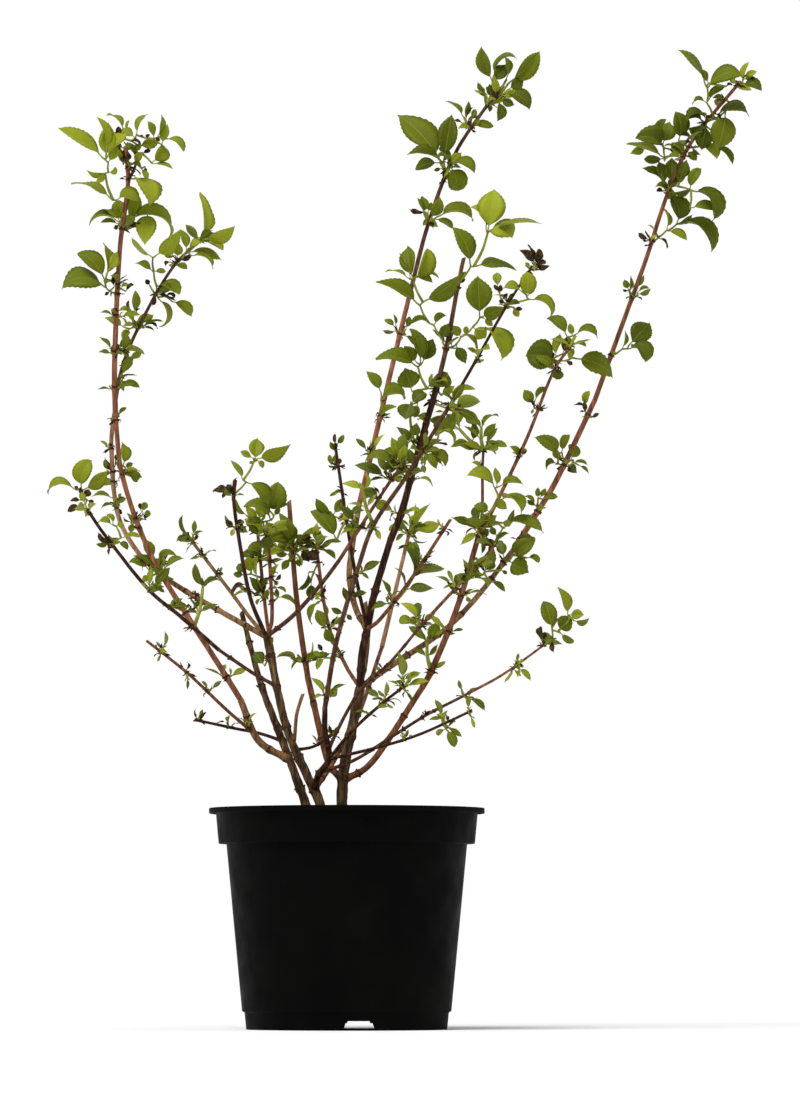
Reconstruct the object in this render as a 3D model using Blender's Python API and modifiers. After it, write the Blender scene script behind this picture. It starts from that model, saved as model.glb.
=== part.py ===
"""A mock orange shrub in its round nursery pot, about 1 m tall.

Three stems stand in the compost and carry the other canes and branches between them. Each bough is one
tapering limb. Past its tip a leafy mass takes over: one stem, with leaves at its nodes by a seeded rule.

Sizes are in millimetres until they reach Blender, which works in metres. X runs to the right, Y away
from the viewer and Z up. Everything is placed from the pot's axis at the ground, and the finished
plant is then moved so that the middle of its bounding box's underside is the origin.
"""

import math
import random

import bmesh
import bpy
from mathutils import Matrix, Vector
from mathutils.bvhtree import BVHTree
from mathutils.geometry import interpolate_bezier

MM = 0.001
OBJECT_NAME = "Potted mock orange"

# Clearances
GAP = 0.3  # between pieces that touch on the real plant
CUT_GAP = 0.32  # round a limb where a neighbour is cut back from it
LEAF_GAP = 0.5  # between a leaf and every piece that isn't its own

# Pot
POT_HEIGHT = 220.0
POT_SIDES = 48
WALL = 2.0
FLOOR = 2.5
EDGE = 1.0  # the bevel along both edges of the rim
FOOT_RADIUS = 100.0
FOOT_TOP_RADIUS = 101.7
FOOT_HEIGHT = 17.0
BODY_FOOT_RADIUS = 104.2
BODY_TOP_RADIUS = 120.0
COLLAR_FOOT_RADIUS = 127.7
COLLAR_TOP_RADIUS = 130.8
COLLAR_FOOT = 184.5
LIP_RADIUS = 137.4
LIP_DROP = 5.5
NOTCH_OFFSET = 12.5
NOTCH_HEIGHT = 9.3
NOTCH_FOOT_WIDTH = 32.5
NOTCH_TOP_WIDTH = 25.6

# Compost
COMPOST_TOP = 198.0

# Limbs
DEPTH = 1.35  # the spread from front to back, for the given Y values
VIEW_SIDE = 53.0  # the given X and Z values are as they look from this viewpoint far out in front
VIEW_DISTANCE = 6000.0
VIEW_HEIGHT = 75.0
RING_SPACING = 30.0
FLARE_SPACING = 8.0
FLARE = 0.55  # the extra thickness at the compost, as a share of the stem's radius
FLARE_HEIGHT = 9.0
BURIED = 12.0  # how far a stem is drawn on below the compost before its foot is cut flat

# Leaves and green shoots
LEAF_WIDTH = 0.56
LEAF_THICKNESS = 0.026
LEAF_WIDEST = 0.47  # shares of the leaf's length from its root
LEAF_THICKEST = 0.30
LEAF_FOLD = 0.07
LEAF_ARCH = 0.05
LEAF_DROOP = 0.10
PETIOLE = 0.22  # share of a leaf's length
TUFT_RISE = (0.33, 0.83)  # how steeply a tuft's lowest and highest leaves rise
TUFT_LEAN = 1.3
TUFT_FADE = 0.88  # each pair of a tuft is this much shorter than the one before it
TUFT_STEP = 5.0  # and springs this much higher up the stem
STAND_IN = 1.18  # a solid's leaves are this much larger than life, as each stands for several
SMALLEST_LEAF = 11.0  # the solids leave out tufts with smaller leaves than this
SOLID_SHARE = 0.6  # and of every other tuft they carry this share
ROOT_SINK = 0.5  # how far a leaf's root reaches past the middle of its stem
WELD = 0.003
LONG_SHOOT = 24.0  # a shoot this long carries leaves on a twig, and a shorter one is a single leaf
SHOOT_RADIUS = 0.8
SHOOT_PAIRS = ((1.0, 1.0, 0.75), (0.5, 0.7, 1.1))  # each pair's place along the twig, leaf size and spread
LEAF_ON_SHOOT = 0.4  # the share of a short shoot that adds to its leaf's length
NODE_INSET = 2.5  # how far inside its stem's tip the last node is
TRIES = 4

COLOURS = {
    "pot": ((0.012, 0.012, 0.013), 0.5),
    "compost": ((0.045, 0.028, 0.018), 0.95),
    "bark": ((0.16, 0.06, 0.035), 0.6),
    "leaf": ((0.15, 0.24, 0.035), 0.5),
}

# Each limb: its parent, the height at which it leaves the parent (None for the parent's tip), its radius
# at foot and tip, and the points that it passes. The stems have no parent and start at the compost.
BOUGHS = {
    "left_stem": (None, None, 4.6, 1.8, (
        (-31, 16, 198), (-41, 18, 224), (-54, 20, 260), (-72, 26, 307), (-86, 32, 344), (-105.5, 44, 416))),
    "middle_stem": (None, None, 4.4, 3.0, (
        (-25, -12, 198), (-27, -12, 224), (-38, -11, 249), (-58, -9, 293), (-67, -8, 327), (-80.5, -6, 391))),
    "right_stem": (None, None, 5.4, 4.4, (
        (-5.5, 10, 198), (-4, 10, 248), (0, 10, 276), (7.7, 10, 312), (13, 10, 340))),
    "left_cane": ("left_stem", 269, 3.6, 3.2, ((-81, 22, 281), (-92, 20, 293), (-106, 16, 328))),
    "whip": ("middle_stem", 238, 3.0, 2.4, (
        (-28, -20, 254), (-18, -26, 269), (-22, -34, 298), (-22, -39, 320))),
    "dark_cane": ("right_stem", None, 3.6, 2.8, (
        (15.5, 2, 376), (20.4, 0, 399), (26.4, -4, 430), (43.3, -12, 487.6))),
    "back_cane": ("dark_cane", 399, 2.6, 2.4, ((9, 14, 419), (2.5, 26, 450), (4, 34, 473), (12, 54, 523))),
    "upright_cane": ("right_stem", 248, 3.0, 2.6, ((-16, 22, 261), (-22, 28, 277), (-39, 40, 350))),
    "back_right_cane": ("middle_stem", 238, 2.4, 2.0, (
        (-17, 2, 260), (0.2, 30, 292), (12, 36, 314), (35, 52, 381))),
    "right_cane": ("right_stem", 248, 3.2, 2.8, ((18.6, 14, 259.6), (38, 14, 283.4), (75, 11, 340))),
    "far_right_cane": ("right_stem", None, 3.2, 2.6, (
        (37, 14, 357.4), (96.8, 26, 397.5), (129, 28, 430), (167.6, 28, 480))),
    "arching_branch": ("middle_stem", None, 2.4, 2.0, (
        (-119.5, 4, 412.6), (-165, 12, 439), (-186, 16, 453))),
    "low_left_branch": ("middle_stem", 342, 1.9, 1.7, ((-91, -16, 353), (-128, -26, 378))),
    "front_left_branch": ("middle_stem", None, 1.8, 1.5, (
        (-52, -26, 414), (-23, -48, 447.4), (-7.6, -58, 468))),
    "right_slender": ("whip", 279, 1.6, 1.2, (
        (0, -40, 316), (16, -52, 341), (42.6, -62, 365), (73, -72, 401))),
    "low_right_branch": ("whip", 256, 1.6, 1.2, (
        (5.6, -30, 267), (41.4, -34, 289), (78.5, -50, 312.4), (115.5, -58, 331.5))),
    "pruned_stub": ("right_stem", None, 2.0, 1.5, ((19, 16, 368), (20.9, 14, 394), (18.4, 14, 426))),
    "pruned_twig": ("middle_stem", 282, 1.4, 1.2, ((-52, -24, 293), (-50, -30, 314), (-44, -34, 334))),
}

# The stem of each leafy mass, given in the same way
MASSES = {
    "left_cane_leaves": ("left_cane", None, 3.0, 2.4, (
        (-133, 10, 371), (-157, 6, 408), (-197, 2, 475), (-225, -2, 553), (-232, -6, 612))),
    "left_crown": ("left_cane_leaves", None, 2.3, 1.6, (
        (-233, -10, 664), (-228, -18, 781), (-220, -24, 850), (-223, -26, 884))),
    "arching_leaves": ("arching_branch", None, 1.9, 1.7, (
        (-209, 18, 475.5), (-229, 22, 513), (-236, 24, 581), (-234, 22, 611))),
    "left_side_crown": ("arching_leaves", None, 1.6, 1.1, (
        (-225, 24, 663), (-201, 28, 718), (-172, 32, 766), (-146, 34, 790))),
    "low_left_spray": ("low_left_branch", None, 1.6, 1.1, (
        (-167, -32, 412), (-197, -36, 437), (-243, -44, 494), (-260, -48, 519))),
    "left_twig": ("left_cane", 295, 1.3, 0.9, ((-119, 2, 317), (-159.5, -16, 355), (-200, -28, 387))),
    "low_left_twig": ("left_stem", 287, 1.3, 0.9, ((-87, 36, 294.5), (-114, 40, 300), (-151, 38, 308))),
    "tan_shoot": ("middle_stem", None, 1.6, 1.1, ((-96.5, 20, 409.5), (-114, 30, 433), (-156, 44, 488))),
    "dark_shoot": ("middle_stem", None, 1.7, 1.2, (
        (-96.5, -20, 430), (-109.6, -36, 499), (-113.5, -42, 531), (-111.6, -44, 548))),
    "inner_shoot": ("middle_stem", None, 1.6, 1.1, ((-75, 4, 408), (-77.5, 12, 468), (-80, 14, 496))),
    "back_left_shoot": ("middle_stem", 342, 1.6, 1.1, ((-73, 14, 370), (-80, 26, 407), (-90, 40, 501))),
    "upright_cane_leaves": ("upright_cane", None, 2.5, 1.8, (
        (-47, 46, 403), (-52, 50, 446), (-58, 58, 527))),
    "back_shoot": ("right_stem", None, 1.5, 1.1, ((-1, 24, 362), (-18.5, 40, 403), (-31, 54, 483))),
    "front_left_spray": ("front_left_branch", None, 1.4, 1.0, (
        (7, -66, 491), (44, -84, 548), (57, -90, 565))),
    "bud_shoot": ("dark_cane", 399, 1.5, 1.0, ((9, -22, 451), (-0.7, -24, 508.6), (-11.6, -18, 581))),
    "whip_leaves": ("whip", None, 2.3, 1.7, (
        (-10.5, -54, 386), (13, -72, 466), (26, -80, 502), (58, -94, 550), (101.7, -112, 621))),
    "whip_crown": ("whip_leaves", None, 1.6, 1.2, (
        (127.8, -122, 666), (159.7, -132, 723), (185, -138, 762))),
    "dark_cane_leaves": ("dark_cane", None, 2.7, 2.1, (
        (53.8, -16, 513.4), (63.4, -20, 548), (82, -26, 614.4), (91.4, -28, 646.5))),
    "dark_cane_crown": ("dark_cane_leaves", None, 2.0, 1.5, (
        (101, -32, 688.6), (110.6, -36, 741), (117, -38, 772))),
    "back_cane_leaves": ("back_cane", None, 2.3, 1.9, ((24, 72, 573), (51, 104, 687), (64, 116, 740))),
    "top_crown": ("back_cane_leaves", None, 1.8, 1.2, ((82, 128, 808), (110, 140, 880), (153, 150, 943))),
    "back_right_shoot": ("back_right_cane", None, 1.9, 1.3, ((48, 62, 435.5), (62.4, 72, 496))),
    "right_inner_shoot": ("whip", 269, 1.3, 0.9, ((5.6, -44, 297.5), (37, -62, 326), (58, -74, 342))),
    "right_slender_leaves": ("right_slender", None, 1.2, 1.0, (
        (96.8, -80, 427), (135, -92, 467.5), (148, -96, 484))),
    "right_cane_leaves": ("right_cane", None, 2.7, 2.1, (
        (84, 10, 356), (110, 8, 420), (131, 8, 490), (134, 8, 501))),
    "right_thin_shoot": ("right_cane_leaves", None, 1.1, 0.9, (
        (135.5, 18, 525), (135.5, 26, 559), (136.6, 30, 580))),
    "right_mid_crown": ("right_cane_leaves", None, 1.9, 1.2, (
        (143, -2, 513), (180, -22, 590), (207.6, -36, 659), (226, -42, 685))),
    "far_right_leaves": ("far_right_cane", None, 2.5, 2.1, (
        (185, 28, 507.5), (208, 26, 545), (248, 22, 628))),
    "far_right_crown": ("far_right_leaves", None, 2.0, 1.2, (
        (278, 18, 710.5), (299.5, 14, 769.4), (322.6, 10, 839), (346, 6, 889), (395, 0, 950))),
    "low_right_spray": ("low_right_branch", None, 1.2, 0.9, ((155, -66, 353), (198.4, -76, 384))),
    "low_right_twig": ("whip", 269, 1.2, 0.8, (
        (16.4, -44, 277), (53.3, -56, 287), (78.5, -62, 296), (124, -70, 317))),
    "pruned_side_branch": ("dark_cane", 399, 1.6, 1.1, (
        (31.8, -14, 407.3), (53.5, -28, 434.4), (74.8, -40, 464.6), (103.5, -56, 508.6))),
    "inner_twig": ("middle_stem", 278, 1.2, 0.8, ((-32.4, 0, 281.8), (-13, 8, 294.3))),
}

# The tufts of a mass, one to each leafy node of its stem: the node's height, which way the tuft leans
# (-1 wholly left, 1 wholly right), the length of its largest leaf and the number of leaves
TUFTS = {
    "left_cane_leaves": ((350, -0.1, 18, 2), (415, 0.3, 20, 2), (455, 0.2, 22, 3), (506, 0, 14, 3),
                         (553, 0.8, 22, 3), (610, 0.1, 14, 2)),
    "left_crown": ((640, 0.1, 14, 2), (675, 0.5, 22, 4), (712, 0.2, 17, 2), (745, -0.5, 24, 3),
                   (801, 0.1, 26, 3), (862, 0.3, 24, 3), (878, 0.1, 27, 8)),
    "arching_leaves": ((462, 0.2, 21, 2), (520, -0.6, 17, 3), (545, -0.4, 20, 2), (578, -0.8, 10, 1)),
    "left_side_crown": ((648, 0.9, 19, 2), (665, 0.9, 16, 1), (700, 0.4, 20, 2), (735, 0.6, 24, 4),
                        (766, 0, 16, 2), (788, 0.1, 25, 7)),
    "low_left_spray": ((420, 0.7, 18, 1), (437, 0.2, 20, 3), (482, 0.2, 19, 4), (516, 0.2, 24, 6)),
    "left_twig": ((300, 0, 12, 2), (336, 0.3, 12, 2), (376, 0.1, 15, 3)),
    "low_left_twig": ((301, 0, 11, 1), (308, 0.2, 10, 2)),
    "tan_shoot": ((452, 0.2, 9, 1), (472, -0.1, 12, 2), (488, -0.2, 20, 5)),
    "dark_shoot": ((437, -0.9, 14, 1), (500, 0, 20, 3), (531, -0.3, 19, 4)),
    "inner_shoot": ((425, 0, 17, 2), (465, 0.6, 16, 2), (492, 0, 28, 7)),
    "back_left_shoot": ((445, -0.7, 14, 1), (468, 0, 24, 3), (498, 0, 22, 5)),
    "upright_cane_leaves": ((365, 0, 22, 3), (478, 0, 28, 7)),
    "back_shoot": ((400, 0.6, 18, 2), (430, -0.6, 26, 2), (481, 0.2, 24, 6)),
    "front_left_spray": ((500, -0.3, 25, 4), (530, -0.3, 26, 4), (560, -0.1, 28, 6)),
    "bud_shoot": ((508, -0.4, 26, 3), (537, -0.5, 10, 1), (564, 0, 10, 2), (581, 0.1, 8, 2)),
    "whip_leaves": ((330, 0.2, 20, 2), (433, 0.9, 14, 1), (453, 0.9, 20, 2), (503, -0.3, 18, 4),
                    (579, 0.5, 22, 4)),
    "whip_crown": ((621, 0.4, 26, 4), (669, 0, 28, 3), (723, 0.4, 22, 5), (762, 0.4, 11, 5)),
    "dark_cane_leaves": ((513, 0, 24, 3), (548, -0.2, 25, 4), (578, -0.2, 25, 4), (605, -0.6, 24, 3),
                         (640, 0.1, 25, 4)),
    "dark_cane_crown": ((688, 0.3, 25, 5), (741, -0.3, 10, 1)),
    "back_cane_leaves": ((573, 0, 18, 2), (610, 0.5, 25, 3), (693, 0, 14, 2)),
    "top_crown": (
        (808, 0.2, 20, 4), (850, 0.1, 25, 4), (866, 0.1, 27, 5), (902, 0, 20, 4), (925, 0.3, 26, 5),
                  (938, 0.3, 26, 4)),
    "back_right_shoot": ((480, 0.3, 24, 4), (493, 0.2, 26, 5)),
    "right_inner_shoot": ((320, 0.1, 15, 3), (342, 0.1, 16, 4)),
    "right_slender_leaves": ((401, 0, 23, 4), (440, 0.1, 22, 4), (460, 0.2, 22, 3), (482, 0, 25, 5)),
    "right_cane_leaves": ((356, 0.5, 16, 1), (396, 0, 18, 2), (432, 0.3, 18, 2), (455, 0.8, 24, 1),
                          (490, 0.8, 22, 1), (499, 0, 24, 7)),
    "right_thin_shoot": ((559, 0, 18, 3), (578, 0.1, 24, 6)),
    "right_mid_crown": ((571, 0, 14, 2), (621, 0, 16, 2), (659, 0, 26, 5), (680, -0.1, 26, 7)),
    "far_right_leaves": ((488, 0.4, 27, 4), (515, 0, 19, 3), (562, 0.1, 24, 5), (612, 0, 14, 3)),
    "far_right_crown": ((672, 0.4, 14, 3), (730, 0.2, 15, 3), (787, 0.1, 16, 3), (838, 0.3, 24, 5),
                        (872, -0.2, 30, 5), (888, -0.1, 30, 5), (905, 0.1, 28, 4), (930, 0.1, 25, 4),
                        (946, 0, 22, 4)),
    "low_right_spray": ((332, 0, 18, 2), (362, 0.3, 16, 3), (382, 0.5, 22, 7)),
    "low_right_twig": ((288, 0, 9, 2), (304, 0.4, 20, 3), (317, 0.1, 12, 2)),
    "pruned_side_branch": ((425, -0.6, 18, 2), (466, 0, 12, 2), (498, -0.3, 9, 1)),
    "inner_twig": ((284, -0.3, 11, 2), (292, 0, 12, 2)),
}

# The shoots and single leaves that stand out of a mass: the node's height, how far the shoot runs to
# the right and up, and the length of its leaves
SHOOTS = {
    "left_crown": (
        (745, -17, 12, 40), (801, -16, 72, 38), (801, 19, 10, 38), (801, -18, 4, 28), (878, 36, 6, 26)),
    "left_side_crown": ((748, -2, 34, 22), (788, -2, 20, 36), (788, 20, 4, 28)),
    "low_left_spray": ((400, 9, 38, 26), (516, -18, 9, 32), (516, 2, 20, 28)),
    "dark_shoot": ((531, 20, 34, 32),),
    "inner_shoot": ((496, 2, 30, 32),),
    "back_left_shoot": ((501, 4, 20, 28),),
    "upright_cane_leaves": ((478, -6, 22, 30),),
    "whip_crown": ((669, 12, 16, 32),),
    "dark_cane_crown": ((688, -36, 66, 32), (688, 24, 28, 38), (741, 29, 40, 36)),
    "top_crown": ((808, 18, -14, 38), (862, -20, 15, 38), (925, 22, 14, 34), (938, -9, 21, 38)),
    "back_right_shoot": ((496, 6, 22, 24),),
    "right_inner_shoot": ((342, -2, 20, 26),),
    "right_slender_leaves": ((484, 0, 50, 36),),
    "right_cane_leaves": ((356, -4, 30, 22),),
    "right_thin_shoot": ((578, -22, 22, 30),),
    "right_mid_crown": ((659, 22, 1, 38), (659, -19, 12, 34)),
    "far_right_leaves": ((562, -10, 20, 30),),
    "far_right_crown": ((672, 14, 16, 32), (672, 18, 2, 30), (787, 36, 22, 30), (876, -20, 8, 36),
                        (905, 18, -6, 34), (925, -15, 22, 36), (946, 14, 4, 20)),
    "low_right_spray": ((382, -4, 22, 28), (382, 14, 24, 28)),
    "pruned_side_branch": ((425, 20, 26, 34),),
}


# Scene, collections and materials


def clear_scene():
    for obj in list(bpy.data.objects):
        bpy.data.objects.remove(obj, do_unlink=True)


def new_collection(name):
    collection = bpy.data.collections.new(name)
    bpy.context.scene.collection.children.link(collection)
    return collection


def principled(name, kind):
    colour, roughness = COLOURS[kind]
    material = bpy.data.materials.new(name)
    material.use_nodes = True
    shader = material.node_tree.nodes["Principled BSDF"]
    shader.inputs["Base Color"].default_value = (*colour, 1.0)
    shader.inputs["Roughness"].default_value = roughness
    shader.inputs["Metallic"].default_value = 0.0
    material.diffuse_color = (*colour, 1.0)
    return material


def new_object(name, mesh, collection):
    obj = bpy.data.objects.new(name, mesh)
    collection.objects.link(obj)
    return obj


def evaluated_mesh(obj):
    """The object's mesh as its modifiers leave it."""
    bpy.context.view_layer.update()
    graph = bpy.context.evaluated_depsgraph_get()
    return bpy.data.meshes.new_from_object(obj.evaluated_get(graph))


def remove_object(obj):
    data = obj.data
    bpy.data.objects.remove(obj, do_unlink=True)
    if isinstance(data, bpy.types.Mesh):
        bpy.data.meshes.remove(data)
    else:
        bpy.data.curves.remove(data)


def finish(obj, kind):
    """Gives the piece its material and shades its round faces smooth."""
    obj.data.materials.clear()
    obj.data.materials.append(principled(f"{obj.name} {kind}", kind))
    obj.data.shade_smooth()
    obj.data.set_sharp_from_angle(angle=math.radians(50))


# Pot and compost


def turned(name, profile, collection):
    """A solid of revolution. The profile starts on the axis, and runs down the outer side."""
    mesh = bpy.data.meshes.new(name)
    corners = [(radius * MM, 0.0, height * MM) for radius, height in profile]
    mesh.from_pydata(corners, [(i, i + 1) for i in range(len(corners) - 1)], [])
    obj = new_object(name, mesh, collection)
    screw = obj.modifiers.new("Turn", "SCREW")
    screw.steps = POT_SIDES
    screw.render_steps = POT_SIDES
    screw.use_merge_vertices = True
    screw.merge_threshold = 0.00001
    screw.use_smooth_shade = True
    return obj


def collar_inner_radius(height):
    share = (height - COLLAR_FOOT) / (POT_HEIGHT - COLLAR_FOOT)
    return COLLAR_FOOT_RADIUS - WALL + share * (COLLAR_TOP_RADIUS - COLLAR_FOOT_RADIUS)


def make_pot(collection, cutters):
    floor_top = FOOT_HEIGHT + FLOOR
    ledge = COLLAR_FOOT + WALL
    lip_foot = POT_HEIGHT - LIP_DROP
    profile = (
        (0, floor_top),
        (BODY_FOOT_RADIUS - WALL, floor_top),
        (BODY_TOP_RADIUS - WALL, ledge),
        (collar_inner_radius(ledge), ledge),
        (collar_inner_radius(POT_HEIGHT), POT_HEIGHT - EDGE),
        (collar_inner_radius(POT_HEIGHT) + EDGE, POT_HEIGHT),
        (LIP_RADIUS - EDGE, POT_HEIGHT),
        (LIP_RADIUS, POT_HEIGHT - EDGE),
        (LIP_RADIUS, lip_foot),
        (LIP_RADIUS - WALL, lip_foot),
        (LIP_RADIUS - WALL, POT_HEIGHT - WALL),
        (COLLAR_TOP_RADIUS, POT_HEIGHT - WALL),
        (COLLAR_FOOT_RADIUS, COLLAR_FOOT),
        (BODY_TOP_RADIUS, COLLAR_FOOT),
        (BODY_FOOT_RADIUS, FOOT_HEIGHT + EDGE),
        (FOOT_TOP_RADIUS, FOOT_HEIGHT),
        (FOOT_RADIUS, 0),
        (FOOT_RADIUS - FLOOR, 0),
        (FOOT_TOP_RADIUS - FLOOR, FOOT_HEIGHT),
        (0, FOOT_HEIGHT),
    )
    pot = turned("pot", profile, collection)
    for name, turn in (("front_and_back_notch", 0.0), ("side_notch", math.radians(90))):
        cut = pot.modifiers.new(name, "BOOLEAN")
        cut.object = drain_notch(name, turn, cutters)
        cut.operation = "DIFFERENCE"
        cut.solver = "EXACT"
    finish(pot, "pot")
    return pot


def drain_notch(name, turn, cutters):
    """A long wedge-sided bar, which cuts one drain notch through each side of the foot."""
    slope = (NOTCH_FOOT_WIDTH - NOTCH_TOP_WIDTH) / NOTCH_HEIGHT
    bm = bmesh.new()
    bmesh.ops.create_cube(bm, size=1.0)
    for vertex in bm.verts:
        height = NOTCH_HEIGHT if vertex.co.z > 0 else -NOTCH_HEIGHT / 2
        vertex.co.x = NOTCH_OFFSET + vertex.co.x * (NOTCH_FOOT_WIDTH - slope * height)
        vertex.co.y *= 3 * FOOT_RADIUS
        vertex.co.z = height
    bm.transform(Matrix.Rotation(turn, 4, "Z") @ Matrix.Scale(MM, 4))
    mesh = bpy.data.meshes.new(name)
    bm.to_mesh(mesh)
    bm.free()
    cutter = new_object(name, mesh, cutters)
    cutter.hide_render = True
    cutter.display_type = "WIRE"
    return cutter


def make_compost(collection):
    ledge = COLLAR_FOOT + WALL + GAP
    foot = FOOT_HEIGHT + FLOOR + GAP
    profile = (
        (0, COMPOST_TOP),
        (collar_inner_radius(COMPOST_TOP) - GAP, COMPOST_TOP),
        (collar_inner_radius(ledge) - GAP, ledge),
        (BODY_TOP_RADIUS - WALL - GAP, ledge),
        (BODY_FOOT_RADIUS - WALL - GAP, foot),
        (0, foot),
    )
    compost = turned("compost", profile, collection)
    finish(compost, "compost")
    return compost


# Limbs


def smooth_path(points, spacing):
    """Points along a smooth curve through the given ones, about the spacing apart."""
    count = len(points)
    headings = [(points[min(i + 1, count - 1)] - points[max(i - 1, 0)]).normalized() for i in range(count)]
    path = [points[0]]
    for i in range(count - 1):
        reach = (points[i + 1] - points[i]).length
        rings = max(2, round(reach / spacing) + 1)
        handle = headings[i] * reach / 3, headings[i + 1] * reach / 3
        near, far = points[i], points[i + 1]
        path += interpolate_bezier(near, near + handle[0], far - handle[1], far, rings)[1:]
    return path


def node_at(path, height):
    """The place of a node on a stem, no nearer to its tip than leaves can sink their roots."""
    place = at_height(path, height)
    ahead = (path[-1] - path[-2]).normalized()
    past = (place - path[-1]).dot(ahead) + NODE_INSET
    return place - ahead * max(past, 0.0)


def placed(x, y, z):
    """The true place of a point of a limb's row, which lies further out the further back it is."""
    spread = 1 + y * DEPTH / VIEW_DISTANCE
    return Vector((VIEW_SIDE + (x - VIEW_SIDE) * spread, y * DEPTH, VIEW_HEIGHT + (z - VIEW_HEIGHT) * spread))


def seen_height(place):
    """The height at which a place looks to be from the viewpoint."""
    return VIEW_HEIGHT + (place.z - VIEW_HEIGHT) / (1 + place.y / VIEW_DISTANCE)


def at_height(path, height):
    """The place on the path that looks to be at this height."""
    for low, high in zip(path, path[1:]):
        near, far = seen_height(low), seen_height(high)
        if near <= height <= far:
            return low.lerp(high, (height - near) / (far - near))
    return path[-1] if height > seen_height(path[-1]) else path[0]


def limb_path(row, paths):
    """The centreline of one limb, from a row of BOUGHS or MASSES."""
    parent, height, _, _, points = row
    points = [placed(*point) for point in points]
    if parent is None:
        down = (points[0] - points[1]).normalized()
        foot = smooth_path([points[0] + down * BURIED] + points[:2], FLARE_SPACING)
        return foot[:-1] + smooth_path(points[1:], RING_SPACING)
    start = paths[parent][-1] if height is None else at_height(paths[parent], height)
    return smooth_path([start.copy()] + points, RING_SPACING)


def limb_radii(row, path):
    """The radius at each point of a limb's path: an even taper, and a flare where a stem meets the compost."""
    parent, _, foot, tip, _ = row
    lengths = [0.0]
    for a, b in zip(path, path[1:]):
        lengths.append(lengths[-1] + (b - a).length)
    radii = [foot + (tip - foot) * length / lengths[-1] for length in lengths]
    if parent is None:
        rises = [max(point.z - COMPOST_TOP, 0.0) for point in path]
        radii = [r * (1 + FLARE * math.exp(-rise / FLARE_HEIGHT)) for r, rise in zip(radii, rises)]
    return radii


def tube_mesh(name, path, radii, roundness):
    """A closed tube along the path. It has four sides, and two more for each step of roundness."""
    curve = bpy.data.curves.new(name, "CURVE")
    curve.dimensions = "3D"
    curve.twist_mode = "MINIMUM"
    curve.bevel_depth = MM
    curve.bevel_resolution = roundness
    curve.use_fill_caps = True
    spline = curve.splines.new("POLY")
    spline.points.add(len(path) - 1)
    for point, place, radius in zip(spline.points, path, radii):
        point.co = (*(place * MM), 1.0)
        point.radius = radius
    tube = new_object(name, curve, bpy.context.scene.collection)
    mesh = evaluated_mesh(tube)
    remove_object(tube)
    bm = bmesh.new()
    bm.from_mesh(mesh)
    bmesh.ops.remove_doubles(bm, verts=bm.verts, dist=1e-7)
    bmesh.ops.recalc_face_normals(bm, faces=bm.faces)
    bm.to_mesh(mesh)
    bm.free()
    return mesh


def cut_foot_flat(mesh):
    """Cuts a stem level, just clear of the compost."""
    bm = bmesh.new()
    bm.from_mesh(mesh)
    level = Vector((0, 0, (COMPOST_TOP + GAP) * MM))
    whole = bm.verts[:] + bm.edges[:] + bm.faces[:]
    bmesh.ops.bisect_plane(bm, geom=whole, plane_co=level, plane_no=Vector((0, 0, 1)), clear_inner=True)
    bmesh.ops.holes_fill(bm, edges=[edge for edge in bm.edges if edge.is_boundary])
    bmesh.ops.recalc_face_normals(bm, faces=bm.faces)
    bm.to_mesh(mesh)
    bm.free()


def longer(path, extra):
    """The path with its last point moved on by the extra length."""
    ahead = (path[-1] - path[-2]).normalized()
    return path[:-1] + [path[-1] + ahead * extra]


def tree_of(mesh):
    bm = bmesh.new()
    bm.from_mesh(mesh)
    tree = BVHTree.FromBMesh(bm)
    bm.free()
    return tree


def boolean_with(obj, others, operation):
    """Cuts the other objects from this one, or joins them to it, applies that and removes them."""
    helpers = new_collection("Helpers")
    for other in others:
        helpers.objects.link(other)
        bpy.context.scene.collection.objects.unlink(other)
    modifier = obj.modifiers.new(operation.title(), "BOOLEAN")
    modifier.operation = operation
    modifier.operand_type = "COLLECTION"
    modifier.collection = helpers
    for solver in ("EXACT", "MANIFOLD"):
        modifier.solver = solver
        mesh = evaluated_mesh(obj)
        keep_largest(mesh)
        if operation == "DIFFERENCE" or volume(mesh) > volume(obj.data):
            break
    old = obj.data
    obj.modifiers.clear()
    obj.data = mesh
    bpy.data.meshes.remove(old)
    for other in others:
        remove_object(other)
    bpy.data.collections.remove(helpers)


def volume(mesh):
    bm = bmesh.new()
    bm.from_mesh(mesh)
    found = bm.calc_volume()
    bm.free()
    return found


def keep_largest(mesh):
    """Welds the slivers that a Boolean leaves, and drops the loose scraps of the mesh."""
    bm = bmesh.new()
    bm.from_mesh(mesh)
    bmesh.ops.remove_doubles(bm, verts=bm.verts, dist=WELD * MM)
    bodies, seen = [], set()
    for start in bm.verts:
        if start in seen:
            continue
        body, front = [], [start]
        seen.add(start)
        while front:
            vertex = front.pop()
            body.append(vertex)
            near = [edge.other_vert(vertex) for edge in vertex.link_edges]
            fresh = [other for other in near if other not in seen]
            seen.update(fresh)
            front += fresh
        bodies.append(body)
    bodies.sort(key=len)
    for body in bodies[:-1]:
        bmesh.ops.delete(bm, geom=body, context="VERTS")
    bm.to_mesh(mesh)
    bm.free()


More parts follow.
